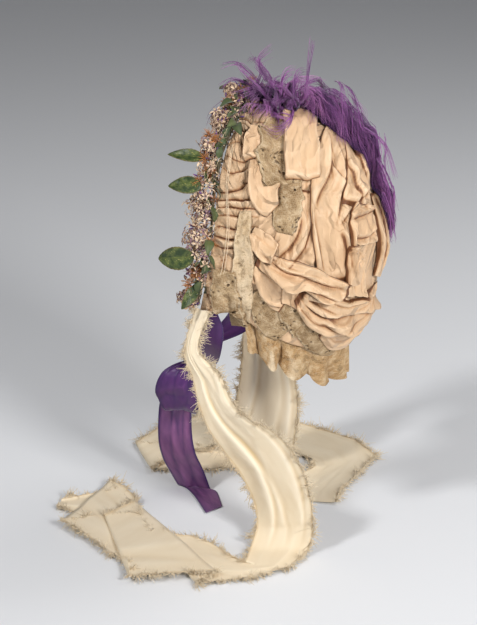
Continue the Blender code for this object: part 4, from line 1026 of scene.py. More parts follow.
def leaf_finish(name, light, dark):
    """Starched cloth leaf: pale veins from the midrib and yellow speckles."""
    f = Finish(name, 0.45)
    way = f.pattern()
    speck = f.span(f.cells(way, 520.0), 0.20, 0.12)
    vein = f.span(f.value("edge"), 0.0, 0.09, 1.0, 0.0)
    cloud = f.noise(way, 150.0, 4.0)
    base = f.stain(dark, light, cloud, 0.42, 0.70)
    base = f.mix(f.math("MULTIPLY", speck, f.span(cloud, 0.40, 0.55)), base, (0.50, 0.44, 0.13))
    base = f.mix(f.math("MULTIPLY", vein, 0.6), base, light)
    base = f.stain(base, (0.20, 0.12, 0.03), f.value("edge"), 0.86, 1.0, 0.6)
    f.bump(f.math("ADD", cloud, vein), 0.5, 0.0008)
    return f.colour(base).made


def petal_finish(name, petal, heart):
    """Floret petals: cream, some lilac or brown, a few violet, dark at the heart."""
    f = Finish(name, 0.8)
    run, shade = f.value("run"), f.value("shade")
    tone = f.stain(petal, (0.30, 0.17, 0.20), shade, 0.58, 0.90)
    tone = f.stain(tone, (0.36, 0.19, 0.08), shade, 0.22, 0.0)
    tone = f.mix(f.math("GREATER_THAN", shade, 0.95), tone, (0.13, 0.05, 0.27))
    base = f.stain(heart, tone, run, 0.05, 0.45)
    cloud = f.noise(f.pattern(follow=False), 260.0, 3.0)
    base = f.stain(base, (0.30, 0.19, 0.10), cloud, 0.5, 0.75, 0.5)
    f.bump(f.noise(f.pattern((1.0, 1.0, 1.0), follow=False), 900.0), 0.3, 0.0004)
    return f.colour(base).made


def valley(lift, rows=4, columns=4):
    """How far each point lies below the average round it: negative in folds, about -1 to 1; finishes paint
    shade where it is negative and a highlight where it is positive.
    """
    soft = lift
    for axis, cells in ((0, rows), (1, columns)):
        padded = np.concatenate([np.repeat(soft.take([0], axis), cells, axis), soft,
                                 np.repeat(soft.take([-1], axis), cells, axis)], axis)
        size = soft.shape[axis]
        soft = np.mean([padded.take(range(k, k + size), axis) for k in range(2 * cells + 1)], axis=0)
    return np.clip((lift - soft) / FOLD_SCALE, -1, 1)


def make_crown():
    """Crown cloth: rings from the back pole to its edge, with long folds that run down it.

    The folds are the root of a cosine over the degrees back, bent by slower waves, so ridges are
    round and valleys sharp. A hem runs on from the edge inside the brim and the frill.
    """
    s = sizes()
    rings, columns = 84, 300
    around = np.linspace(-90, 270, columns, endpoint=False)
    reach, rise = crown_edge(around)
    share = np.linspace(0.004, 1.0, rings)[:, None]
    away = np.radians(share * reach)
    turn = np.radians(around)[None, :]
    way = from_pole(away, turn)
    side = np.where(way[..., 0] >= 0, 1.0, -1.0)
    out = np.degrees(np.arccos(np.clip(np.abs(way[..., 0]), 0, 1)))
    angle = np.arctan2(way[..., 2], way[..., 1])
    back, up = out * np.cos(angle), out * np.sin(angle)
    bent = back - 0.10 * up + 4 * np.sin(up * 0.06) + 3 * np.sin(up * 0.13 + side)
    gather = np.abs(np.cos(bent * 0.21)) ** 0.55 - 0.6
    fine = creases(back / 11, up / 16, 5)
    near = np.exp(-((90 - np.abs(back)) / 26) ** 2) * 0.35 + 0.65
    fold = (0.0018 * gather * near + 0.0011 * fine) * smooth(share, 0.05, 0.3)
    fold = fold * smooth(share, 1.0, 0.9)
    swell = seam_swell(share)
    lift = rise * swell + fold - s.crown_wall / 2 - 0.0004
    grid = crown_point(way, lift)
    outer = np.concatenate([grid, grid[:, :1]], axis=1)
    outer = outer + unit(outer - crown_centre()) * s.crown_wall * 0.35
    for layers in (LEFT, RIGHT):
        layers.cover(outer)
    inward = unit(crown_centre() - grid[-1])
    upper = (around > s.brim_lowest + 2) & (around < 178 - s.brim_lowest)
    hem = [grid[-1] + inward * 0.0011 + (brim_point(around, np.array(t)) - brim_point(around, np.array(0.0)))
           * upper[:, None] + inward * 0.0008 * np.minimum(t * 20, 1) for t in (0.02, 0.06, 0.11)]
    grid = np.vstack([grid, np.array(hem)])
    fold = np.vstack([fold * np.ones_like(lift), np.zeros((3, columns))])
    finish = satin("silk_satin_crown", tints().silk_light, tints().silk_shade_and_mottle)
    # The fold value paints shade into the folds' valleys and a highlight on their ridges.
    cloth("crown_silk", grid, finish, "silk", "crown", closed=True,
          fold=valley(fold, 3, 3))


def make_inner_face():
    """Plain inner face of the crown's wall, from its back pole to its edge."""
    s = sizes()
    around = np.linspace(-90, 270, 72, endpoint=False)
    reach, rise = crown_edge(around)
    share = np.linspace(0.01, 0.985, 20)[:, None]
    away = np.radians(share * reach)
    turn = np.radians(around)[None, :]
    way = from_pole(away, turn)
    swell = seam_swell(share)
    grid = crown_point(way, rise * swell - s.crown_wall - 0.0016)
    finish = Finish("crown_inside_plain", 0.85).colour((0.52, 0.37, 0.23)).made
    cloth("crown_inside", grid, finish, "silk", closed=True)


def make_brim():
    """Ruched brim: uneven ribs that run across it, and a puckered header that lies on the crown.

    Ribs are counted along the arch. A rib is a root of a cosine, so its ridge is round and its
    valley sharp, and it hooks upwards at the rear. At the lower corners two slanting sets cross.
    """
    s = sizes()
    columns, rows, header = 940, 24, 7
    around = np.linspace(s.brim_lowest, 180 - s.brim_lowest, columns)
    middle = brim_point(around, np.full(columns, 0.5))
    length_along = walked(middle)
    place_along = (length_along / length_along[-1])[None, :]
    across = np.linspace(0, 1, rows)[:, None]
    side = np.where(around <= 90, around, 180 - around)[None, :]
    mirror = np.where(around <= 90, 1.0, -1.0)[None, :]
    bent = place_along * 43 * np.pi + 1.5 * np.sin(place_along * 31) + 0.7 * np.sin(place_along * 77 + 1)

    def ribs(across):
        """Height of the ribs: their rear ends hook upwards, and two slanting sets meet low down."""
        hook = 1.9 * np.maximum(1 - across, 0) ** 2 - 0.5 * np.sin(across * 5 + place_along * 40)
        phase = bent - mirror * hook
        rib = np.abs(np.cos(phase)) ** 0.75 - 0.5
        half = 0.30 * (1 - np.abs(np.cos(phase * 0.5 + 1.1))) ** 2
        slant = 5.5 * across
        rising, falling = (np.abs(np.cos(bent * 0.55 + way)) ** 0.5 for way in (slant, -slant))
        cross = (rising + falling) * 0.6 - 0.7
        lower = smooth(side, 14, 0)
        return (rib * (0.75 + 0.35 * np.sin(place_along * 53)) + half) * (1 - lower) + cross * lower

    strength = (0.60 + 0.80 * smooth(across, 0.95, 0.2)) * smooth(across, 1.0, 0.93)
    lift = s.rib_height * ribs(across) * strength + 0.0004 * ripples(place_along * 60, across * 5, 5)
    grid = brim_point(around[None, :], across, lift)
    reach, rise = crown_edge(around)
    share = np.linspace(0.925, 0.995, header)[:, None]
    away = np.radians(share * reach)
    turn = np.radians(around)[None, :]
    way = from_pole(away, turn)
    swell = seam_swell(share)
    t = np.linspace(0, 1, header)[:, None]
    pucker = ribs(-0.15 * (1 - t)) * (0.4 + 0.6 * t)
    head_lift = (rise * swell + 0.0002 + 0.0022 * smooth(t, 0.0, 0.4)
                 + s.rib_height * 0.9 * (pucker + 0.3) * t**0.5)
    top = crown_point(way, head_lift)
    grid[:3] = grid[:3] + (unit(grid[:3] - crown_centre())
                           * np.array([0.0022, 0.0014, 0.0006])[:, None, None])
    grid = np.vstack([top, grid])
    fold = np.vstack([pucker * s.rib_height, lift])
    # Painted shade: the brim's silk is the crown's silk painted 0.86 times as light.
    light = [0.86 * part for part in tints().silk_light]
    finish = satin("silk_satin_brim_painted_shade", light, tints().silk_shade_and_mottle)
    # Painted shade in the rib valleys and a little over the whole brim, and a painted highlight on the rib
    # crests.
    shade = np.clip(valley(fold, 1, 3) * 1.1 + valley(fold, 1, 6) * 0.4 - 0.10, -1, 1)
    cloth("brim_silk", grid, finish, "silk", "brim", fold=shade)
    for layers in (LEFT, RIGHT):
        layers.cover(grid + unit(grid - crown_centre()) * s.brim_wall / 3)
    knots = np.array([(47, 0.62), (36, 0.60), (28, 0.55), (20, 0.45), (12, 0.42), (4, 0.45), (-4, 0.5)])
    path = through(knots, 90)
    stray = np.stack([brim_point(path[:, 0] + shift, path[:, 1] + slip, 0.0033 + 0 * path[:, 0])
                      for shift, slip in ((0, 0), (1.2, 0.07))])
    strands("brim_thread", stray, 0.00028, thread_finish("loose_thread", (0.85, 0.70, 0.50),
            (0.62, 0.42, 0.22)), "silk", sides=4, tip=0.9)


def make_ruffle():
    """Nape frill: flutes that deepen downwards, crimped again between them, with a scalloped hem.

    A flute is a bent cosine whose inner side is pinched, so that its valley is narrow.
    """
    s = sizes()
    rows, columns, flutes = 24, 520, 9
    around = np.linspace(s.brim_lowest - 4, -180 - s.brim_lowest + 4, columns)
    reach, rise = crown_edge(around)
    away = np.radians(reach)
    turn = np.radians(around)
    way = from_pole(away, turn)
    edge = crown_point(way, rise - s.crown_wall - 0.0006 - 3 * GAP - s.ruffle_flute * 0.5)
    outward = unit((edge - crown_centre()) * np.array([1, 1, 0]))
    walk = walked(edge)
    sideways = unit(np.gradient(edge, axis=0))
    run = walk / walk[-1] * flutes * 2 * np.pi
    run = run + 1.1 * np.sin(run * 0.21) + 0.5 * np.sin(run * 0.53 + 2)
    share = np.linspace(0, 1, rows)[:, None]
    pinch = run[None, :] / 2 + 0.30 * np.sin(run)[None, :] * share + 0.3 * np.sin(share * 3 + run * 0.3)
    wave = 1.6 * np.abs(np.cos(pinch)) ** 0.7 - 0.9 + 0.16 * np.cos(2.3 * run + 1 + share * 2) * share
    scallop = 1 - 0.04 * np.sin(run * 1.3 + 1)[None, :] * smooth(share, 0.5, 1.0)
    scallop = scallop + 0.06 * np.cos(run)[None, :] * share
    down = (-s.ruffle_tuck + (s.ruffle_depth + s.ruffle_tuck) * share) * scallop
    depth = s.ruffle_flute * (0.15 + 1.75 * share**0.9)
    slope = -0.06 * s.ruffle_depth * share
    out = depth * wave + slope + 0.0012 * facets(run[None, :] * 0.35, share * 2, 3)
    grid = edge[None] - down[..., None] * np.array([0, 0, 1]) + outward[None] * out[..., None]
    grid = grid + sideways[None] * (depth * 0.55 * np.sin(run + 0.6)[None, :] * share)[..., None]
    finish = lace_finish("lace_frill", (0.52, 0.345, 0.175), (0.40, 0.225, 0.085), holes=0.12)
    # The fold value paints shade into the flutes' valleys and a highlight on their crests.
    cloth("nape_ruffle_lace", grid, finish, "lace", "nape_ruffle", fold=valley(out, 2, 5) * 0.9)


def fold_field(back, up):
    """Main folds of the shown side, added up over its drapery.

    Each fold is a ridge along a smooth line. Its height falls away gently on one side and at
    once on the other, where a valley follows. It fades out towards both ends of its line.
    The second value is 1 in the crease at the foot of a ridge; it marks where shade is painted.
    """
    total = np.zeros(np.broadcast(back, up).shape)
    dark = total.copy()
    for depth, width, lean, points in FOLDS:
        width = width * 0.75
        line = through(points, FOLD_STOPS)
        way = unit(np.gradient(line, axis=0))
        apart = np.stack([back[..., None] - line[:, 0], up[..., None] - line[:, 1]], -1)
        near = np.argmin((apart**2).sum(-1), axis=-1)
        offset = np.take_along_axis(apart, near[..., None, None], axis=-2)[..., 0, :]
        side = (offset[..., 0] * way[near, 1] - offset[..., 1] * way[near, 0]) * -lean
        beyond = np.abs(offset[..., 0] * way[near, 0] + offset[..., 1] * way[near, 1])
        run = near / (FOLD_STOPS - 1)
        fade = smooth(run, -0.02, 0.22) * smooth(run, 1.02, 0.75) * np.exp(-(beyond / width) ** 2)
        total = total + 1.15 * depth * knife_fold(side, width, 1.0, 0.32, 0.75, 0.42, 0.55) * fade
        # Mask for painted shade in the crease at the foot of each ridge.
        dark = np.maximum(dark, np.exp(-((side - 0.45 * width) / (0.13 * width)) ** 2) * fade)
    return total, dark


def draped_piece(layers, name, piece, finish, seed):
    """One piece on the crown.

    A smooth line through its rows gives the middle and the width. Its edges roll under steeply:
    (1 - |v|^p)^(1/2). One long edge may stand higher than the other, as one fold over the next.
    Pleats are saw teeth: a gentle climb and a sharp drop. Facets, creases and main folds are added.
    Lace follows closely what lies under it.
    """
    s = sizes()
    lace = piece["kind"] == "lace"
    loop = piece["kind"] == "loop"
    rows = piece["rows"]
    along, columns = 16 * len(rows) + 8, 59
    line = through(rows, along)
    v = np.sin(np.linspace(-np.pi / 2, np.pi / 2, columns) * 0.98)[None, :] / np.sin(np.pi / 2 * 0.98)
    u = np.linspace(0, 1, along)[:, None]
    half = line[:, 2, None] * np.ones_like(v)
    run = u * len(rows) * 1.2
    crease_painted_shade = 0.0
    if lace:
        scallop = 0.05 * np.abs(np.sin(u * len(rows) * 9 + v))
        scallop = scallop + 0.16 * ripples(run * 1.3, np.sign(v) * 2.0, seed)
        half = half * (1.0 + scallop)
    else:
        half = half * (1.08 + 0.07 * ripples(run, np.sign(v) * 2.0, seed))
    back, up = beside(line, half, v)
    under = layers.top(back, up, 0.0, 0.75) + GAP * 0.4
    close = 0.75 if lace else 1.5
    base = np.maximum(layers.top(back, up, close, close), under) + GAP
    share = line[:, 3, None]
    shoulder = np.sqrt(np.clip(1 - np.abs(v) ** (26 if lace else 18), 0, 1))
    start = smooth(u, 0.0, 0.04 if lace else 0.10)
    if loop:
        stop = np.sqrt(np.clip(1 - np.abs(2 * u - 1) ** 40, 0, 1))
    else:
        stop = smooth(u, 1.0, 0.96 if lace else 0.90)
    body = shoulder * start * np.where(u > 0.5, stop, 1)
    lean = piece.get("lean", 0.0)
    height = s.lace_height * 0.35 if lace else s.loop_height * piece.get("puff", 0.50 if loop else 0.28)
    lift = height * share * (0.85 + 0.6 * lean * v + 0.25 * v**2)
    for at, depth, width in piece.get("pleats", ()):
        bend = at + 0.10 * np.sin(u * 3 + seed) + 0.05 * np.sin(u * 9 + seed)
        pleat = knife_fold(v - bend, width, 1.3, 0.22, 0.55, 0.4, 0.6)
        lift = lift + s.pleat_depth * depth * pleat * (0.35 + 0.65 * smooth(u, 1.0, 0.3))
    wide = half * 2.2 / 22.0
    if lace:
        lift = lift + 0.0005 * ripples(run * 1.2, v * 2.0, seed + 9, 5)
    else:
        lift = lift + 0.0017 * facets(run * 0.6, v * wide * 0.8 + run * 0.35, seed)
        lift = lift + 0.0003 * facets(run * 2.0, v * wide * 2.6, seed + 40)
        if layers is LEFT:
            folds, crease_painted_shade = fold_field(back, up)
            lift = lift + folds
    lift = np.maximum(lift, 0.0003)
    total = under * (1 - body) + (base + lift) * body
    grid = crown_point(crown_direction(layers.side, back, up), total)
    # Painted shade and highlight: darker in valleys and in the creases at the main folds' feet, paler on
    # ridges.
    tint = 0.22 * valley(lift * body, 3, 4) + 0.75 * valley(lift * body, 1, 2) - 0.9 * crease_painted_shade
    # Painted highlight along the rolled edge, and painted shade in the tuck round each piece's outline.
    rim_painted_highlight = smooth(body, 0.80, 0.98) * smooth(body, 1.0, 0.985)
    tint = tint + 0.5 * rim_painted_highlight - (0.5 if lace else 1.3) * smooth(body, 0.75, 0.35)
    cloth(name + ("_net" if lace else "_silk"), grid, finish, "lace" if lace else "silk", name,
          fold=np.clip(tint, -1, 1))
    for shown in (LEFT, RIGHT):
        shown.cover(grid)


def make_drapery():
    """Silk loops, panels and lace on the crown, lowest first."""
    tint = tints()
    silk = satin("silk_satin_drapery", tint.silk_light, tint.silk_shade_and_mottle)
    lace = lace_finish("lace_crown", tint.lace_light, tint.lace_dark)
    pale = lace_finish("lace_pale", (0.74, 0.58, 0.39), (0.56, 0.39, 0.22), holes=0.3)
    for layers, table in ((RIGHT, DRAPED_RIGHT), (LEFT, DRAPED)):
        for seed, (name, piece) in enumerate(table.items()):
            net = pale if name == "lace_side_strip" else lace
            draped_piece(layers, name, piece, net if piece["kind"] == "lace" else silk, seed * 3 + 1)


def plume_body(name, rows, finish, node):
    """Painted shade under the strands: a near-black low pad along the plume's middle, highest at its middle.
    """
    s = sizes()
    along, across = 60, 25
    line = through(rows, along)
    v = np.linspace(-1, 1, across)[None, :]
    back, up = beside(line, line[:, 2, None], v * 0.6)
    base = LEFT.top(back, up, 2.0, 2.0)
    u = np.linspace(0, 1, along)[:, None]
    ends = np.sin(np.pi * np.clip(u * 0.94 + 0.03, 0, 1)) ** 0.5
    thick = s.plume_height * line[:, 3, None] * (1 - v**2) * ends * 0.30
    top = crown_point(crown_direction(1, back, up), base + GAP + thick)
    cloth(name, top, finish, "plume", node, 0.0008)


def make_plume():
    """Ostrich plume: strands that leave its middle, sweep along it, droop at the sides and curl.

    A strand's place along the plume grows with its run, its place across goes from the quill to
    the side, and its lift falls from the plume's roof to the cloth with the square of the run.
    """
    s, tint = sizes(), tints()
    # A near-black pad stands for the shade among the strands.
    down = Finish("plume_shade_pad", 0.95).colour([0.6 * part for part in tint.plume_dark]).made
    finish = plume_finish("plume_barbs", tint.plume_light, tint.plume_dark)
    draw = np.random.default_rng(11)
    plume_body("plume_fall_shade_pad", PLUME_FALL, down, "plume_fall")
    plume_body("plume_tuft_shade_pad", PLUME_TUFT, down, "plume_tuft")
    steps = 9
    t = np.linspace(0, 1, steps)[None, :]
    fine = through(PLUME_FALL, PLUME_STOPS)
    ways = unit(np.gradient(fine[:, :2], axis=0))
    groups = []
    # Each set's last number shifts its strands' shade: the low mat under the others is darker as painted
    # shade, and the higher arcs and stray strands are paler as painted light.
    for count, reach_low, reach_high, side_span, high_low, high_high, dark in (
            (int(s.barbs * 0.45), 0.12, 0.24, 0.85, 0.25, 0.75, -0.10),
            (int(s.barbs * 0.48), 0.16, 0.36, 1.25, 0.60, 1.10, 0.12),
            (int(s.barbs * 0.07), 0.16, 0.36, 1.55, 0.9, 1.7, 0.35)):
        tufts = max(count // 8, 1)
        tuft = draw.integers(0, tufts, count)
        start = (draw.uniform(0, 1, tufts) ** 1.25 * 0.87 - 0.03)[tuft] + draw.normal(0, 0.010, count)
        reach = draw.uniform(reach_low, reach_high, tufts)[tuft] * draw.uniform(0.75, 1.1, count)
        along = np.clip(start[:, None] + reach[:, None] * t, 0, 1.10)
        spot = np.clip(along, 0, 1) * (PLUME_STOPS - 1)
        line = sampled(spot, np.arange(PLUME_STOPS), fine)
        way = sampled(spot, np.arange(PLUME_STOPS), ways)
        lateral = np.stack([-way[..., 1], way[..., 0]], -1)
        to_side = (draw.uniform(-1, 1, tufts)[tuft] * side_span + draw.normal(0, 0.10, count))[:, None]
        to_side = to_side * (1 - 0.45 * smooth(start, 0.25, 0.6))[:, None]
        v = draw.normal(0, 0.15, count)[:, None] * (1 - t) + to_side * t**1.1
        swirl = draw.uniform(3.0, 8.0, tufts)[tuft][:, None]
        begin = draw.uniform(0, 6.3, tufts)[tuft][:, None]
        v = v + 0.26 * np.sin(t * swirl + begin) * t
        over = np.clip(along - 1, 0, 1)[..., None] * 90
        back = line[..., 0] + lateral[..., 0] * line[..., 2] * v + (way * over)[..., 0]
        up = line[..., 1] + lateral[..., 1] * line[..., 2] * v + (way * over)[..., 1]
        floor = LEFT.top(back, up, 0.75, 1.0) + 0.0006
        ends = np.sin(np.pi * np.clip(along * 0.94 + 0.03, 0, 1)) ** 0.5
        roof = s.plume_height * line[..., 3] * ends * np.clip(1 - 0.5 * v**2, 0.12, 1)
        high = draw.uniform(high_low, high_high, tufts)[tuft][:, None]
        lift = floor + roof * high * (1 - 0.60 * t**2) + 0.0034 * np.sin(t * swirl * 1.3 + begin * 2) * t
        paths = crown_point(crown_direction(1, back, up), np.maximum(lift, floor))
        paths = paths + draw.normal(0, 0.0012, (count, 1, 3)) * t[..., None]
        shade = draw.random(tufts)[tuft] ** 1.6 * 0.85 + draw.normal(0, 0.12, count) + dark
        groups.append((paths, np.clip(shade, 0, 1)))
    paths = np.concatenate([group[0] for group in groups])
    shade = np.concatenate([group[1] for group in groups])
    barbs = strands("plume_fall_barbs", paths, s.barb * 0.52, finish, "plume", shade=shade, tip=0.2)
    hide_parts("plume_fall")
    t = t[..., None]
    bundles, each = 76, 15
    root = crown_point(crown_direction(1, draw.normal(-10, 10, bundles), draw.normal(86, 4, bundles)),
                       draw.uniform(0.003, 0.015, bundles))
    away = draw.normal(0, 1, (bundles, 3)) * np.array([0.75, 0.85, 0.55])
    away = unit(away + np.array([0.30, -0.25, 0.75]))
    size = draw.uniform(0.024, 0.056, bundles)[:, None, None]
    bend = unit(np.cross(away, draw.normal(0, 1, (bundles, 3))))[:, None]
    hook = unit(np.cross(bend[:, 0], away))[:, None]
    turn = draw.uniform(0.9, 2.9, bundles)[:, None, None]
    curves = (root[:, None] + away[:, None] * size * np.sin(t * turn) / turn * 1.25
              + bend * size * (1 - np.cos(t * turn)) / turn * 0.95 + hook * size * 0.16 * np.sin(t * 5)
              + np.array([0, 0, -1.0]) * size * 0.16 * t**2)
    shape = (bundles, each, 1, 3)
    spread = draw.normal(0, 0.0005, shape) + draw.normal(0, 0.0018, shape) * t**1.3
    ends = draw.uniform(0.70, 1.0, (bundles, each, 1, 1))
    start = root[:, None, None]
    paths = (start + (curves[:, None] - start) * ends + spread).reshape(-1, steps, 3)
    back, up, lift = crown_place(1, paths)
    floor = LEFT.top(back, up, 1.0, 1.0) + 0.0010
    paths = crown_point(crown_direction(1, back, up), np.maximum(lift, floor))
    paths[..., 2] = np.minimum(paths[..., 2], PLUME_CEILING)
    shade = np.repeat(draw.uniform(0.05, 0.95, bundles), each) + draw.normal(0, 0.1, bundles * each)
    shade = np.clip(shade, 0, 1)
    tuft = strands("plume_tuft_barbs", paths, s.barb * 0.95, finish, "plume", shade=shade, tip=0.25)
    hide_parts("plume_tuft")
    tips = []
    for table in (FALL_TIPS, TUFT_TIPS):
        for tip in table:
            curve = through(np.array(tip) * s.plume_reach, steps)
            spread = draw.normal(0, 0.0008, (9, 1, 3)) + draw.normal(0, 0.0024, (9, 1, 3)) * t[0]
            tips.append(curve[None] + spread)
    strands("plume_curls", np.concatenate(tips), s.barb * 0.8, finish, "plume")


def brim_frame(around):
    """Place on the brim's front edge, and the outward and forward directions there."""
    turn = np.radians(around)
    outward = np.stack([np.cos(turn), 0 * turn, np.sin(turn)], -1)
    forward = np.array([0.0, -1.0, 0.0]) + 0 * outward
    return brim_point(around, np.ones_like(around)), outward, forward


def wreath_place(at, ahead, out):
    """Places round the brim's front edge, moved forwards and outwards, and the axes there."""
    edge, outward, forward = brim_frame(at)
    beyond = brim_frame(at + 0.8)[0]
    tangent = unit(beyond - edge)
    return edge + forward * ahead[:, None] + outward * out[:, None], forward, outward, tangent


def copies(name, points, faces, centres, frames, finish, slot_name, values, node=None):
    """One small shape repeated: each copy is turned by its own frame and moved to its centre."""
    placed = centres[:, None] + np.einsum("nij,pj->npi", frames, points)
    offset = (np.arange(len(centres)) * len(points))[:, None, None]
    mesh = bpy.data.meshes.new(name)
    fill_mesh(mesh, placed, np.zeros((0, 4)), (faces[None] + offset).reshape(-1, 3))
    set_values(mesh, placed.shape[:2], values)
    return place(name, mesh, finish, slot_name, node)


def floret_shape():
    """Five narrow cupped petals round a small heart, one unit from heart to tip."""
    points, faces, run = [], [], []
    petal = np.array([(0.06, 0.0, 0.03), (0.45, -0.15, 0.20), (0.42, 0.0, 0.10), (0.45, 0.15, 0.20),
                      (0.78, -0.17, 0.17), (0.78, 0.0, 0.07), (0.78, 0.17, 0.17), (1.05, 0.0, -0.04)])
    corners = np.array([(0, 1, 2), (0, 2, 3), (1, 4, 5), (1, 5, 2),
                        (2, 5, 6), (2, 6, 3), (4, 7, 5), (5, 7, 6)])
    for number in range(5):
        turn = 2 * np.pi * number / 5 + 0.15 * np.sin(number * 2.3)
        scale = 1 + 0.14 * np.sin(number * 1.7)
        spin = np.array([[np.cos(turn), -np.sin(turn), 0], [np.sin(turn), np.cos(turn), 0], [0, 0, 1]])
        faces.append(corners + len(petal) * number)
        points.append(petal * scale @ spin.T)
        run += [0.1, 0.5, 0.4, 0.5, 0.8, 0.75, 0.8, 1.0]
    points.append(np.array([(0.13, 0, 0.02), (-0.07, 0.11, 0.02), (-0.07, -0.11, 0.02),
                            (0, 0, 0.24), (0, 0, -0.12)]))
    heart = np.array([(0, 1, 3), (1, 2, 3), (2, 0, 3), (1, 0, 4), (2, 1, 4), (0, 2, 4)])
    faces.append(heart + 5 * len(petal))
    run += [0.0] * 5
    return np.vstack(points), np.vstack(faces), np.array(run)


def leaf_shape():
    """A small pointed leaf, one unit long: a grid whose width is a sine and whose middle is low."""
    u = np.linspace(0, 1, 7)[:, None]
    v = np.linspace(-1, 1, 5)[None, :]
    width = 0.26 * np.sin(np.pi * u**0.8)
    points = np.stack([u + 0 * v, width * v, 0.10 * np.abs(v) * np.sin(np.pi * u) + 0.14 * np.sin(u * 4)], -1)
    quads = grid_quads(7, 5)
    faces = np.concatenate([quads[:, [0, 1, 2]], quads[:, [0, 2, 3]]])
    return points.reshape(-1, 3), faces, (np.abs(v) * np.ones_like(u)).ravel()


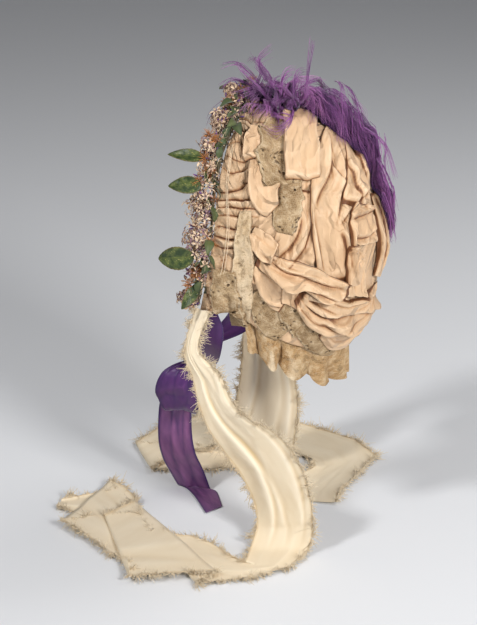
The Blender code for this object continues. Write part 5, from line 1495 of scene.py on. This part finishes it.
def make_wreath():
    """Florets, fluff, buds and leaves crowded in an oval bundle along the brim's front edge."""
    s, tint = sizes(), tints()
    draw = np.random.default_rng(23)
    petal = petal_finish("floret_petals", tint.petal, tint.petal_edge)
    fluff = thread_finish("sprig_fluff", tint.sprig_light, tint.sprig_dark, 0.85)
    green = leaf_finish("leaf_cloth", tint.leaf_light, tint.leaf_dark)
    dark_green = thread_finish("leaf_dark_cloth", (0.11, 0.13, 0.035), tint.leaf_dark, 0.55)
    bud = thread_finish("violet_buds", (0.15, 0.05, 0.28), (0.05, 0.015, 0.09), 0.5)
    twig = thread_finish("pale_tendrils", (0.80, 0.64, 0.42), (0.55, 0.38, 0.20), 0.7)
    stem = thread_finish("wreath_wire", (0.16, 0.12, 0.05), (0.06, 0.05, 0.02), 0.75)
    shape, faces, run = floret_shape()
    behind = s.brim_wall / 2 + GAP + 2 * s.stem_radius + GAP
    around = np.linspace(s.brim_lowest + 2, 178 - s.brim_lowest, 260)
    edge, outward, forward = brim_frame(around)
    line = edge + forward * (s.brim_wall / 2 + GAP + s.stem_radius)
    turned = [(around * 0.5 + start)[:, None] for start in (0, 2.1, 4.2)]
    twist = np.stack([line + (outward * np.cos(turn) + forward * np.sin(turn)) * s.stem_radius * 0.5
                      for turn in turned])
    strands("garland_stem_wire", twist, s.stem_radius * 0.42, stem, "leaf", "garland_stem", 4, 0.9)

    def flowers(name, centres, face, low, high, node=None):
        """Florets at these centres, facing these ways, each of its own size."""
        count = len(centres)
        side = unit(np.cross(face, draw.normal(0, 1, (count, 3))))
        size = draw.uniform(low, high, count)
        frames = np.stack([side, np.cross(face, side), face], -1) * size[:, None, None]
        copies(name, shape, faces, centres, frames, petal, "floret",
               {"run": run[None], "shade": draw.random((count, 1))}, node)

    for name, (at, scale, stretch) in {**HEADS, **SPRIGS}.items():
        head = name in HEADS
        radius = (s.head_radius if head else s.sprig_radius) * scale
        edge, outward, forward = brim_frame(np.array(float(at)))
        tangent = unit(brim_frame(np.array(at + 1.0))[0] - edge)
        centre = edge + forward * (behind + radius * 0.85)
        across = np.cross(tangent, forward)
        count = s.florets if head else 300
        ray = unit(draw.normal(0, 1, (count, 3)))
        bulk = ray @ np.stack([forward, across, tangent * stretch])
        if head:
            face = unit(ray @ np.stack([forward, across, tangent]) + draw.normal(0, 0.35, (count, 3)))
            flowers(name + "_flowers", centre + bulk * radius * draw.uniform(0.45, 0.92, (count, 1)),
                    face, 0.0042, 0.0062, name)
        else:
            t = np.linspace(0, 1, 4)[None, :, None]
            root = centre + bulk * radius * 0.15
            lean = draw.normal(0, 0.3, (count, 1, 3)) * t
            paths = (root[:, None] + (bulk[:, None] + lean) * radius * 1.15 * t
                     * draw.uniform(0.5, 1, (count, 1, 1)))
            strands(name + "_fluff", paths, 0.00028, fluff, "sprig", name)

    def strew(count, low, high, ahead, out, depth, height):
        """Places and directions spread evenly through the wreath's oval bundle."""
        at = draw.uniform(low, high, count)
        angle = draw.uniform(0, 2 * np.pi, count)
        radius = np.sqrt(draw.random(count))
        thin = 0.55 + 0.45 * smooth(at, -18, 2) * smooth(at, 198, 178) * (0.8 + 0.2 * np.sin(at * 0.35))
        place_ahead = ahead + depth * thin * radius * np.cos(angle)
        place_out = out + height * thin * radius * np.sin(angle)
        spot, forward, outward, tangent = wreath_place(at, place_ahead, place_out)
        face = forward * np.cos(angle)[:, None] + outward * np.sin(angle)[:, None]
        return spot, unit(face + draw.normal(0, 0.45, (count, 3))), forward, outward, tangent

    spot, face = strew(560, -17, 197, 0.0105, -0.0005, 0.0130, 0.0078)[:2]
    flowers("wreath_small_flowers", spot, face, 0.0038, 0.0060)
    spot, face = strew(150, -15, 195, 0.0100, 0.0, 0.0140, 0.0085)[:2]
    t = np.linspace(0, 1, 3)[None, :, None]
    paths = spot[:, None] + face[:, None] * 0.0042 * t
    strands("wreath_buds", paths, 0.00095, bud, "floret", sides=4, tip=0.5)
    tufts, hairs = 40, 54
    spot, face = strew(tufts, -15, 195, 0.0100, 0.0005, 0.0150, 0.0095)[:2]
    t = np.linspace(0, 1, 4)[None, :, None]
    ray = unit(draw.normal(0, 1, (tufts * hairs, 3)) + np.repeat(face, hairs, 0) * 0.9)
    reach = draw.uniform(0.004, 0.0092, (tufts * hairs, 1, 1))
    paths = np.repeat(spot, hairs, 0)[:, None] + ray[:, None] * reach * t
    strands("wreath_fluff", paths, 0.00034, fluff, "sprig")
    points, corners, middle = leaf_shape()
    count = 90
    spot, face, forward, outward, tangent = strew(count, -15, 195, 0.0035, 0.0015, 0.0060, 0.0060)
    along = unit(tangent * draw.choice([-1.0, 1.0], (count, 1)) + forward * draw.normal(0.3, 0.5, (count, 1))
                 + outward * draw.normal(0.2, 0.4, (count, 1)))
    side = unit(np.cross(face, along))
    frames = np.stack([along, side, np.cross(along, side)], -1)
    frames = frames * draw.uniform(0.010, 0.018, count)[:, None, None]
    copies("wreath_dark_leaves", points, corners, spot, frames, dark_green, "leaf",
           {"run": 1 - middle[None], "shade": draw.random((count, 1)) * 0.8})
    count = 46
    spot, face, forward, outward, tangent = strew(count, -10, 60, 0.0060, 0.0030, 0.0100, 0.0060)
    t = np.linspace(0, 1, 18)[None, :, None]
    curl = draw.uniform(5, 13, (count, 1, 1))
    paths = (spot[:, None] + face[:, None] * 0.012 * t
             + tangent[:, None] * 0.0028 * np.sin(curl * t) + outward[:, None] * 0.0028 * np.cos(curl * t))
    strands("wreath_tendrils", paths, 0.00026, twig, "sprig", tip=0.5)
    for name, (at, tip, half_width, blade) in LEAVES.items():
        edge, outward, forward = brim_frame(np.array(float(at)))
        axes = np.array([forward, outward, [0.0, 0.0, 1.0]])
        start = edge + forward * (behind + GAP / 2)
        end = start + np.array(tip) @ axes * s.leaf_length
        side = unit(np.cross(end - start, outward))
        face = unit(np.cross(side, end - start))
        u = np.linspace(0, 1, 34)[:, None, None]
        v = np.linspace(-1, 1, 17)[None, :, None]
        grown = np.clip((u - blade * 0.6) / (1 - blade * 0.6), 0, 1)
        swell = np.sin(np.pi * grown**0.75) ** 0.75 * (1 + 0.04 * np.abs(np.sin(u * 38)))
        width = half_width * s.leaf_length * (0.05 + swell)
        veins = np.abs(np.sin(u * 17 - np.abs(v) * 3)) * np.abs(v) ** 0.5
        bow = face * half_width * s.leaf_length * (
            0.6 * np.sin(np.pi * u) + 0.35 * np.abs(v) ** 0.8 * swell
            - 0.07 * veins * swell + 0.15 * v * np.sin(u * 5))
        grid = start + (end - start) * u + side * width * v + bow
        cloth(name + "_cloth", grid, green, "leaf", name, 0.0005)


def tie_rows(side, hang, lying, cuts, count):
    """Both edges of a tie and its pleat depth: smooth while it hangs, straight panels on the floor.

    Where the two meet, the rows are averaged with their neighbours.
    """
    s = sizes()
    corner = brim_point(np.array(s.brim_lowest), np.array(0.5))
    low = -s.floor_depth + 0.001
    hang, lying = np.array(hang), np.array(lying)

    def edge(table, first, height):
        """One edge: out and back from the brim's corner in spreads, at these heights."""
        return np.stack([side * (corner[0] + table[:, first] * s.tie_spread),
                         corner[1] + table[:, first + 1] * s.tie_spread, height], -1)

    edges = [edge(hang, k, corner[2] - hang[:, k + 2] * (corner[2] - low)) for k in (0, 3)]
    flat = [edge(lying, k, low + lying[:, 4] * s.tie_layer) for k in (0, 2)]
    hung = through(np.hstack([edges[0], edges[1], hang[:, 6:]]), count)
    last = np.hstack([flat[0], flat[1], np.zeros((len(lying), 1))])
    rows = np.vstack([hung, straight(np.vstack([hung[-1:], last]), cuts)[1:]])
    soft = rows.copy()
    for _ in range(TIE_SOFTENING):
        soft[1:-1] = (soft[:-2] + 2 * soft[1:-1] + soft[2:]) / 4
    near = np.exp(-((np.arange(len(rows)) - count) / 9.0) ** 2)[:, None]
    return rows * (1 - near) + soft * near


def make_tie(name, side, hang, lying, finish, fringe_finish, seed):
    """Silk tie: fanning folds while it hangs, crisp panels where it lies, and a frayed fringe.

    A fold is a knife edge: a gentle climb across the tie and a sharp drop. Its place across
    drifts on the way down. Facets of crushed silk run along the cloth.
    """
    s = sizes()
    draw = np.random.default_rng(seed)
    hung = 20 * len(hang)
    rows = tie_rows(side, hang, lying, 7, hung)
    front, rear = rows[:, None, 0:3], rows[:, None, 3:6]
    step = np.gradient((rows[:, 0:3] + rows[:, 3:6]) / 2, axis=0)
    across = unit(rear - front)
    face = unit(np.cross(unit(step)[:, None], across))
    lies = smooth(np.arange(len(rows)), hung - 12, hung + 6)[:, None]
    face = unit(face * (1 - lies[..., None]) + np.array([0.0, 0.0, 1.0]) * lies[..., None])
    share = np.linspace(0, 1, 45)[None, :]
    run = np.arange(len(rows))[:, None] / len(rows)
    way_down = np.arange(len(rows))[:, None] / 20.0
    depth = rows[:, 6:] * s.tie_pleat
    wave = -0.35 * np.cos(2 * np.pi * share)
    for at, drift, strength, width in (
            (0.20, 0.16, 0.9, 0.14), (0.52, 0.20, 0.8, 0.20), (0.84, 0.05, 0.7, 0.10)):
        apart = share - at - drift * np.sin(run * 5 + seed * at)
        wave = wave + strength * knife_fold(apart, width, 1.5, 0.22, 0.45, 0.4, 0.5)
    wave = wave * np.sin(np.pi * np.clip(share, 0.03, 0.97)) ** 0.35
    folded = np.minimum(depth / s.tie_pleat, 1)
    crumple = facets(way_down * 0.35, share * 1.8, seed) * (0.0012 + 0.0008 * folded)
    crumple = crumple + facets(way_down * 0.9, share * 4.0, seed + 7) * (0.0003 + 0.0002 * folded)
    crumple = crumple * (1 - lies) + (np.abs(crumple) * 0.9 + 0.0014 * np.abs(2 * share - 1) ** 6) * lies
    lift = depth * wave * 0.34 + crumple
    grid = front * (1 - share[..., None]) + rear * share[..., None] + face * lift[..., None]
    fringes = []
    for column, way in ((0, -across[:, 0]), (-1, across[:, 0])):
        border = grid[:, column]
        size = walked(border)
        count = int(size[-1] / THREAD_SPACING)
        spot = np.sort(draw.uniform(0, size[-1], count))
        root = sampled(spot, size, border)
        lean = sampled(spot, size, way)
        sway = 3 * np.sin(spot / 0.011)
        clump = np.stack([np.sin(spot / 0.0027 + k * 2 + sway) for k in range(3)], -1) * 0.45
        lean = unit(lean + clump + draw.normal(0, 0.42, (count, 3)))
        lengths = s.fringe * draw.uniform(0.35, 0.72, count)[:, None, None]
        lengths = lengths * (0.85 + 0.25 * np.sin(spot / 0.0075 + column))[:, None, None]
        t = np.linspace(0, 1, 4)[None, :, None]
        curl = draw.normal(0, 0.55, (count, 1, 3)) + clump[:, None] * 0.7
        paths = root[:, None] + lean[:, None] * lengths * t + curl * lengths * t**2
        paths[..., 2] = np.maximum(paths[..., 2], -s.floor_depth + 0.0006)
        fringes.append(paths)
    fringe = strands(name + "_fringe", np.concatenate(fringes), THREAD_RADIUS, fringe_finish, "tie", tip=0.45)
    # The fold value paints shade into the tie's valleys and a highlight on its ridges.
    cloth(name + "_silk", grid, finish, "tie", name, fold=valley(lift, 3, 3) * 0.6)


def make_ties():
    """Both long ties."""
    tint = tints()
    finish = plain_silk("tie_silk", tint.tie_light, tint.tie_shade_and_mottle)
    pale = [0.5 * (a + b) for a, b in zip(tint.fringe_tint, tint.tie_light)]
    fringe = thread_finish("tie_fringe", pale, tint.fringe_tint, 0.8)
    make_tie("tie_left", 1, TIE_LEFT_HANG, TIE_LEFT_LYING, finish, fringe, 31)
    make_tie("tie_right", -1, TIE_RIGHT_HANG, TIE_RIGHT_LYING, finish, fringe, 37)


def make_ribbon():
    """Purple ribbon: a loop from inside the brim to under the chin, a knot, one bow loop and two tails.

    Each is a strip between two edge lines, crushed into facets, with long pleats from the knot.
    """
    s, tint = sizes(), tints()
    finish = sheer_ribbon("purple_ribbon", tint.purple_light, tint.purple_dark)
    sheer = sheer_ribbon("purple_ribbon_tail", (0.30, 0.105, 0.28), tint.purple_dark, 0.86)
    inside = np.array([s.brim_wall / 2 + 0.0022 + 2 * GAP + 0.0005, 0.0, 0.0])
    front, rear = (brim_point(STRAP_SEAT, np.array(across)) - inside for across in STRAP_ACROSS)
    seat = (front[-1] + rear[-1]) / 2
    chin = np.array([0.0, -s.chin_forward, -s.chin_drop])
    way = np.stack([STRAP[:, 0], 1 - STRAP[:, 1], 1 - STRAP[:, 2]], -1)
    middle = chin + way * (seat - chin)
    tilt = unit(np.stack([0 * STRAP[:, 0], -np.ones(len(STRAP)), 0.35 * STRAP[:, 0]], -1))
    half = s.ribbon_width / 2 * (1 - 0.35 * np.exp(-(middle[:, 0:1] / 0.03) ** 2))
    left = np.hstack([np.vstack([front, middle + tilt * half]), np.vstack([rear, middle - tilt * half])])
    line = through(np.vstack([left, left[-2::-1] * np.array([-1, 1, 1, -1, 1, 1])]), 110)
    share = np.linspace(0, 1, 25)[None, :, None]
    grid = line[:, None, 0:3] * (1 - share) + line[:, None, 3:6] * share
    narrow = np.exp(-(line[:, 0:1] / 0.035) ** 2)
    lift = 0.0012 * np.cos(share[..., 0] * 6 * np.pi) * narrow
    lift = lift + 0.0008 * facets(np.linspace(0, 8, 110)[:, None], share[..., 0] * 2, 61)
    grid[..., 2] += lift
    # The fold value paints shade into the ribbon's valleys and a highlight on its ridges.
    cloth("chin_ribbon", grid, finish, "purple", "chin_strap", 0.0004, fold=valley(lift, 2, 2))
    drop = s.chin_drop + 0.0005 + GAP + s.knot_radius * 0.9
    knot = np.array([0.0, -s.chin_forward - s.knot_radius / 2, -drop])
    turn = np.linspace(0, 2 * np.pi, 72, endpoint=False)[None, :]
    polar = np.linspace(0.12, np.pi - 0.12, 40)[:, None]
    ridge = 1 + 0.13 * np.abs(np.cos(polar * 5 + np.sin(turn * 2) * 1.2)) ** 0.6
    ridge = ridge + 0.05 * np.sin(turn * 3 + polar * 2)
    ball = from_pole(polar, turn)[..., [1, 0, 2]]
    ball = ball * np.array([0.80, 0.92, 0.82]) * ridge[..., None] * s.knot_radius
    # The fold value paints shade between the knot's ridges and a highlight on them.
    cloth("bow_knot_silk", knot + ball, finish, "purple", "bow_knot", closed=True,
          fold=valley(ridge * 0.008, 2, 2))
    for seed, (name, rows) in enumerate(BOW.items()):
        edges = through(rows, 110)
        first, second = knot + edges[:, None, 0:3] * s.bow_size, knot + edges[:, None, 3:6] * s.bow_size
        share = np.linspace(0, 1, 29)[None, :, None]
        grid = first * (1 - share) + second * share
        run = np.linspace(0, 1, 110)[:, None]
        v = share[..., 0]
        across = unit(second - first)
        face = unit(np.cross(unit(np.gradient((first + second)[:, 0], axis=0))[:, None], across))
        pleat = np.abs(np.cos(v * 3 * np.pi + run * 3)) ** 0.6 - 0.5
        near = np.exp(-run / 0.22) + (np.exp(-(1 - run) / 0.15) if name == "bow_loop" else 0)
        lift = 0.0030 * pleat * near + 0.0003 * pleat
        size = 9.0 if name == "bow_loop" else 6.0
        lift = lift + 0.0022 * facets(run * size * 0.55, v * 1.7 + run, seed + 71)
        lift = lift + 0.0006 * facets(run * size, v * 4, seed)
        lift = lift * np.sin(np.pi * np.clip(run, 0.02, 0.98)) ** 0.4
        grid = grid + face * lift[..., None]
        grid[..., 2] = np.maximum(grid[..., 2], -s.floor_depth + 0.0010)
        # The fold value paints shade into the bow's valleys and a highlight on its ridges.
        cloth(name + "_silk", grid, sheer if "tail" in name else finish, "purple", name, 0.0004,
              fold=valley(lift, 3, 3))


def make_stage():
    """Pale floor and backdrop in one sweep, soft studio light and the camera."""
    floor_z = -sizes().floor_depth - FLOOR_GAP
    t = np.linspace(0, 1, 40)
    away = np.radians(VIEW_TURN)
    behind = np.array([-math.sin(away), math.cos(away)])
    side = np.array([behind[1], -behind[0]])
    forth = np.where(t < 0.5, -5.0 + t * 17.0, 3.5 + 1.5 * np.sin((t - 0.5) * np.pi))
    rise = np.where(t < 0.5, 0.0, 2.4 * (1 - np.cos((t - 0.5) * np.pi)))
    wide = np.linspace(-7, 7, 9)
    grid = np.zeros((40, 9, 3))
    grid[..., :2] = forth[:, None, None] * behind + wide[None, :, None] * side
    grid[..., 2] = floor_z + rise[:, None]
    mesh = bpy.data.meshes.new("floor")
    fill_mesh(mesh, grid, grid_quads(40, 9))
    mesh.materials.append(Finish("floor_paint", 0.9).colour((0.78, 0.79, 0.81)).made)
    floor = bpy.data.objects.new("floor", mesh)
    bpy.context.scene.collection.objects.link(floor)
    world = bpy.data.worlds.new("studio")
    world.use_nodes = True
    world.node_tree.nodes["Background"].inputs["Color"].default_value = (0.97, 0.97, 1.0, 1.0)
    world.node_tree.nodes["Background"].inputs["Strength"].default_value = 0.14
    bpy.context.scene.world = world
    for name, spot, aim, size, power in (
            ("key_light", (1.45, -0.85, 1.45), (0, 0, -0.15), 0.30, 25.0),
            ("fill_light", (1.3, 1.5, 0.8), (0, 0, -0.15), 0.5, 36.0),
            ("rim_light", (-0.9, 0.9, 1.1), (0, 0, -0.1), 0.8, 9.0)):
        lamp = bpy.data.lights.new(name, "AREA")
        lamp.size = size
        lamp.energy = power
        made = bpy.data.objects.new(name, lamp)
        made.location = spot
        made.rotation_euler = (Vector(aim) - Vector(spot)).to_track_quat("-Z", "Y").to_euler()
        bpy.context.scene.collection.objects.link(made)
    turn, tip = math.radians(VIEW_TURN), math.radians(VIEW_RISE)
    back = Vector((math.sin(turn) * math.cos(tip), -math.cos(turn) * math.cos(tip), math.sin(tip)))
    camera = bpy.data.objects.new("camera", bpy.data.cameras.new("camera"))
    camera.location = Vector(VIEW_AIM) + back * VIEW_DISTANCE
    camera.rotation_euler = (-back).to_track_quat("-Z", "Y").to_euler()
    camera.data.lens = VIEW_LENS
    camera.data.sensor_width = VIEW_SENSOR
    bpy.context.scene.collection.objects.link(camera)
    bpy.context.scene.camera = camera
    bpy.context.scene.view_settings.view_transform = "Standard"


class BONNET_OT_stage(bpy.types.Operator):
    """Makes the floor, the light and the camera."""

    bl_idname = "bonnet.stage"
    bl_label = "Stage"

    def execute(self, context):
        """Runs it, and lets an error stop it."""
        make_stage()
        return {"FINISHED"}


class BONNET_OT_crown(bpy.types.Operator):
    """Makes the gathered silk crown and its plain inner face."""

    bl_idname = "bonnet.crown"
    bl_label = "Crown"

    def execute(self, context):
        """Runs it, and lets an error stop it."""
        make_crown()
        make_inner_face()
        return {"FINISHED"}


class BONNET_OT_brim(bpy.types.Operator):
    """Makes the ruched silk brim."""

    bl_idname = "bonnet.brim"
    bl_label = "Brim"

    def execute(self, context):
        """Runs it, and lets an error stop it."""
        make_brim()
        return {"FINISHED"}


class BONNET_OT_ruffle(bpy.types.Operator):
    """Makes the fluted lace frill at the nape."""

    bl_idname = "bonnet.ruffle"
    bl_label = "Nape frill"

    def execute(self, context):
        """Runs it, and lets an error stop it."""
        make_ruffle()
        return {"FINISHED"}


class BONNET_OT_drapery(bpy.types.Operator):
    """Makes the silk loops, panels and lace on the crown."""

    bl_idname = "bonnet.drapery"
    bl_label = "Drapery"

    def execute(self, context):
        """Runs it, and lets an error stop it."""
        make_drapery()
        return {"FINISHED"}


class BONNET_OT_plume(bpy.types.Operator):
    """Makes the curled plume over the crown."""

    bl_idname = "bonnet.plume"
    bl_label = "Plume"

    def execute(self, context):
        """Runs it, and lets an error stop it."""
        make_plume()
        return {"FINISHED"}


class BONNET_OT_wreath(bpy.types.Operator):
    """Makes the florets, sprigs and leaves round the brim."""

    bl_idname = "bonnet.wreath"
    bl_label = "Wreath"

    def execute(self, context):
        """Runs it, and lets an error stop it."""
        make_wreath()
        return {"FINISHED"}


class BONNET_OT_ties(bpy.types.Operator):
    """Makes the long fringed silk ties."""

    bl_idname = "bonnet.ties"
    bl_label = "Ties"

    def execute(self, context):
        """Runs it, and lets an error stop it."""
        make_ties()
        return {"FINISHED"}


class BONNET_OT_ribbon(bpy.types.Operator):
    """Makes the purple chin ribbon and its bow."""

    bl_idname = "bonnet.ribbon"
    bl_label = "Ribbon"

    def execute(self, context):
        """Runs it, and lets an error stop it."""
        make_ribbon()
        return {"FINISHED"}


WORK = [BONNET_OT_stage, BONNET_OT_crown, BONNET_OT_brim,
        BONNET_OT_ruffle, BONNET_OT_drapery, BONNET_OT_plume,
        BONNET_OT_wreath, BONNET_OT_ties, BONNET_OT_ribbon]


class BONNET_PT_panel(bpy.types.Panel):
    """Lists the makers, the sizes and the colours."""

    bl_idname = "BONNET_PT_panel"
    bl_label = "Poke bonnet"
    bl_space_type = "VIEW_3D"
    bl_region_type = "UI"
    bl_category = "Bonnet"

    def draw(self, context):
        """Draws a button for each maker, then every size and colour."""
        for work in WORK:
            self.layout.operator(work.bl_idname)
        for group in (context.scene.bonnet_sizes, context.scene.bonnet_colours):
            for word in group.__annotations__:
                self.layout.prop(group, word)


CLASSES = [BonnetSizes, BonnetColours, *WORK, BONNET_PT_panel]


def register():
    """Adds the classes and the scene's own sizes and colours."""
    for item in CLASSES:
        bpy.utils.register_class(item)
    bpy.types.Scene.bonnet_sizes = PointerProperty(type=BonnetSizes)
    bpy.types.Scene.bonnet_colours = PointerProperty(type=BonnetColours)


def unregister():
    """Takes away what register added."""
    del bpy.types.Scene.bonnet_colours
    del bpy.types.Scene.bonnet_sizes
    for item in reversed(CLASSES):
        bpy.utils.unregister_class(item)


def main():
    """Makes every piece in order."""
    register()
    bpy.ops.bonnet.stage()
    bpy.ops.bonnet.crown()
    bpy.ops.bonnet.brim()
    bpy.ops.bonnet.ruffle()
    bpy.ops.bonnet.drapery()
    bpy.ops.bonnet.plume()
    bpy.ops.bonnet.wreath()
    bpy.ops.bonnet.ties()
    bpy.ops.bonnet.ribbon()


if __name__ == "__main__":
    main()
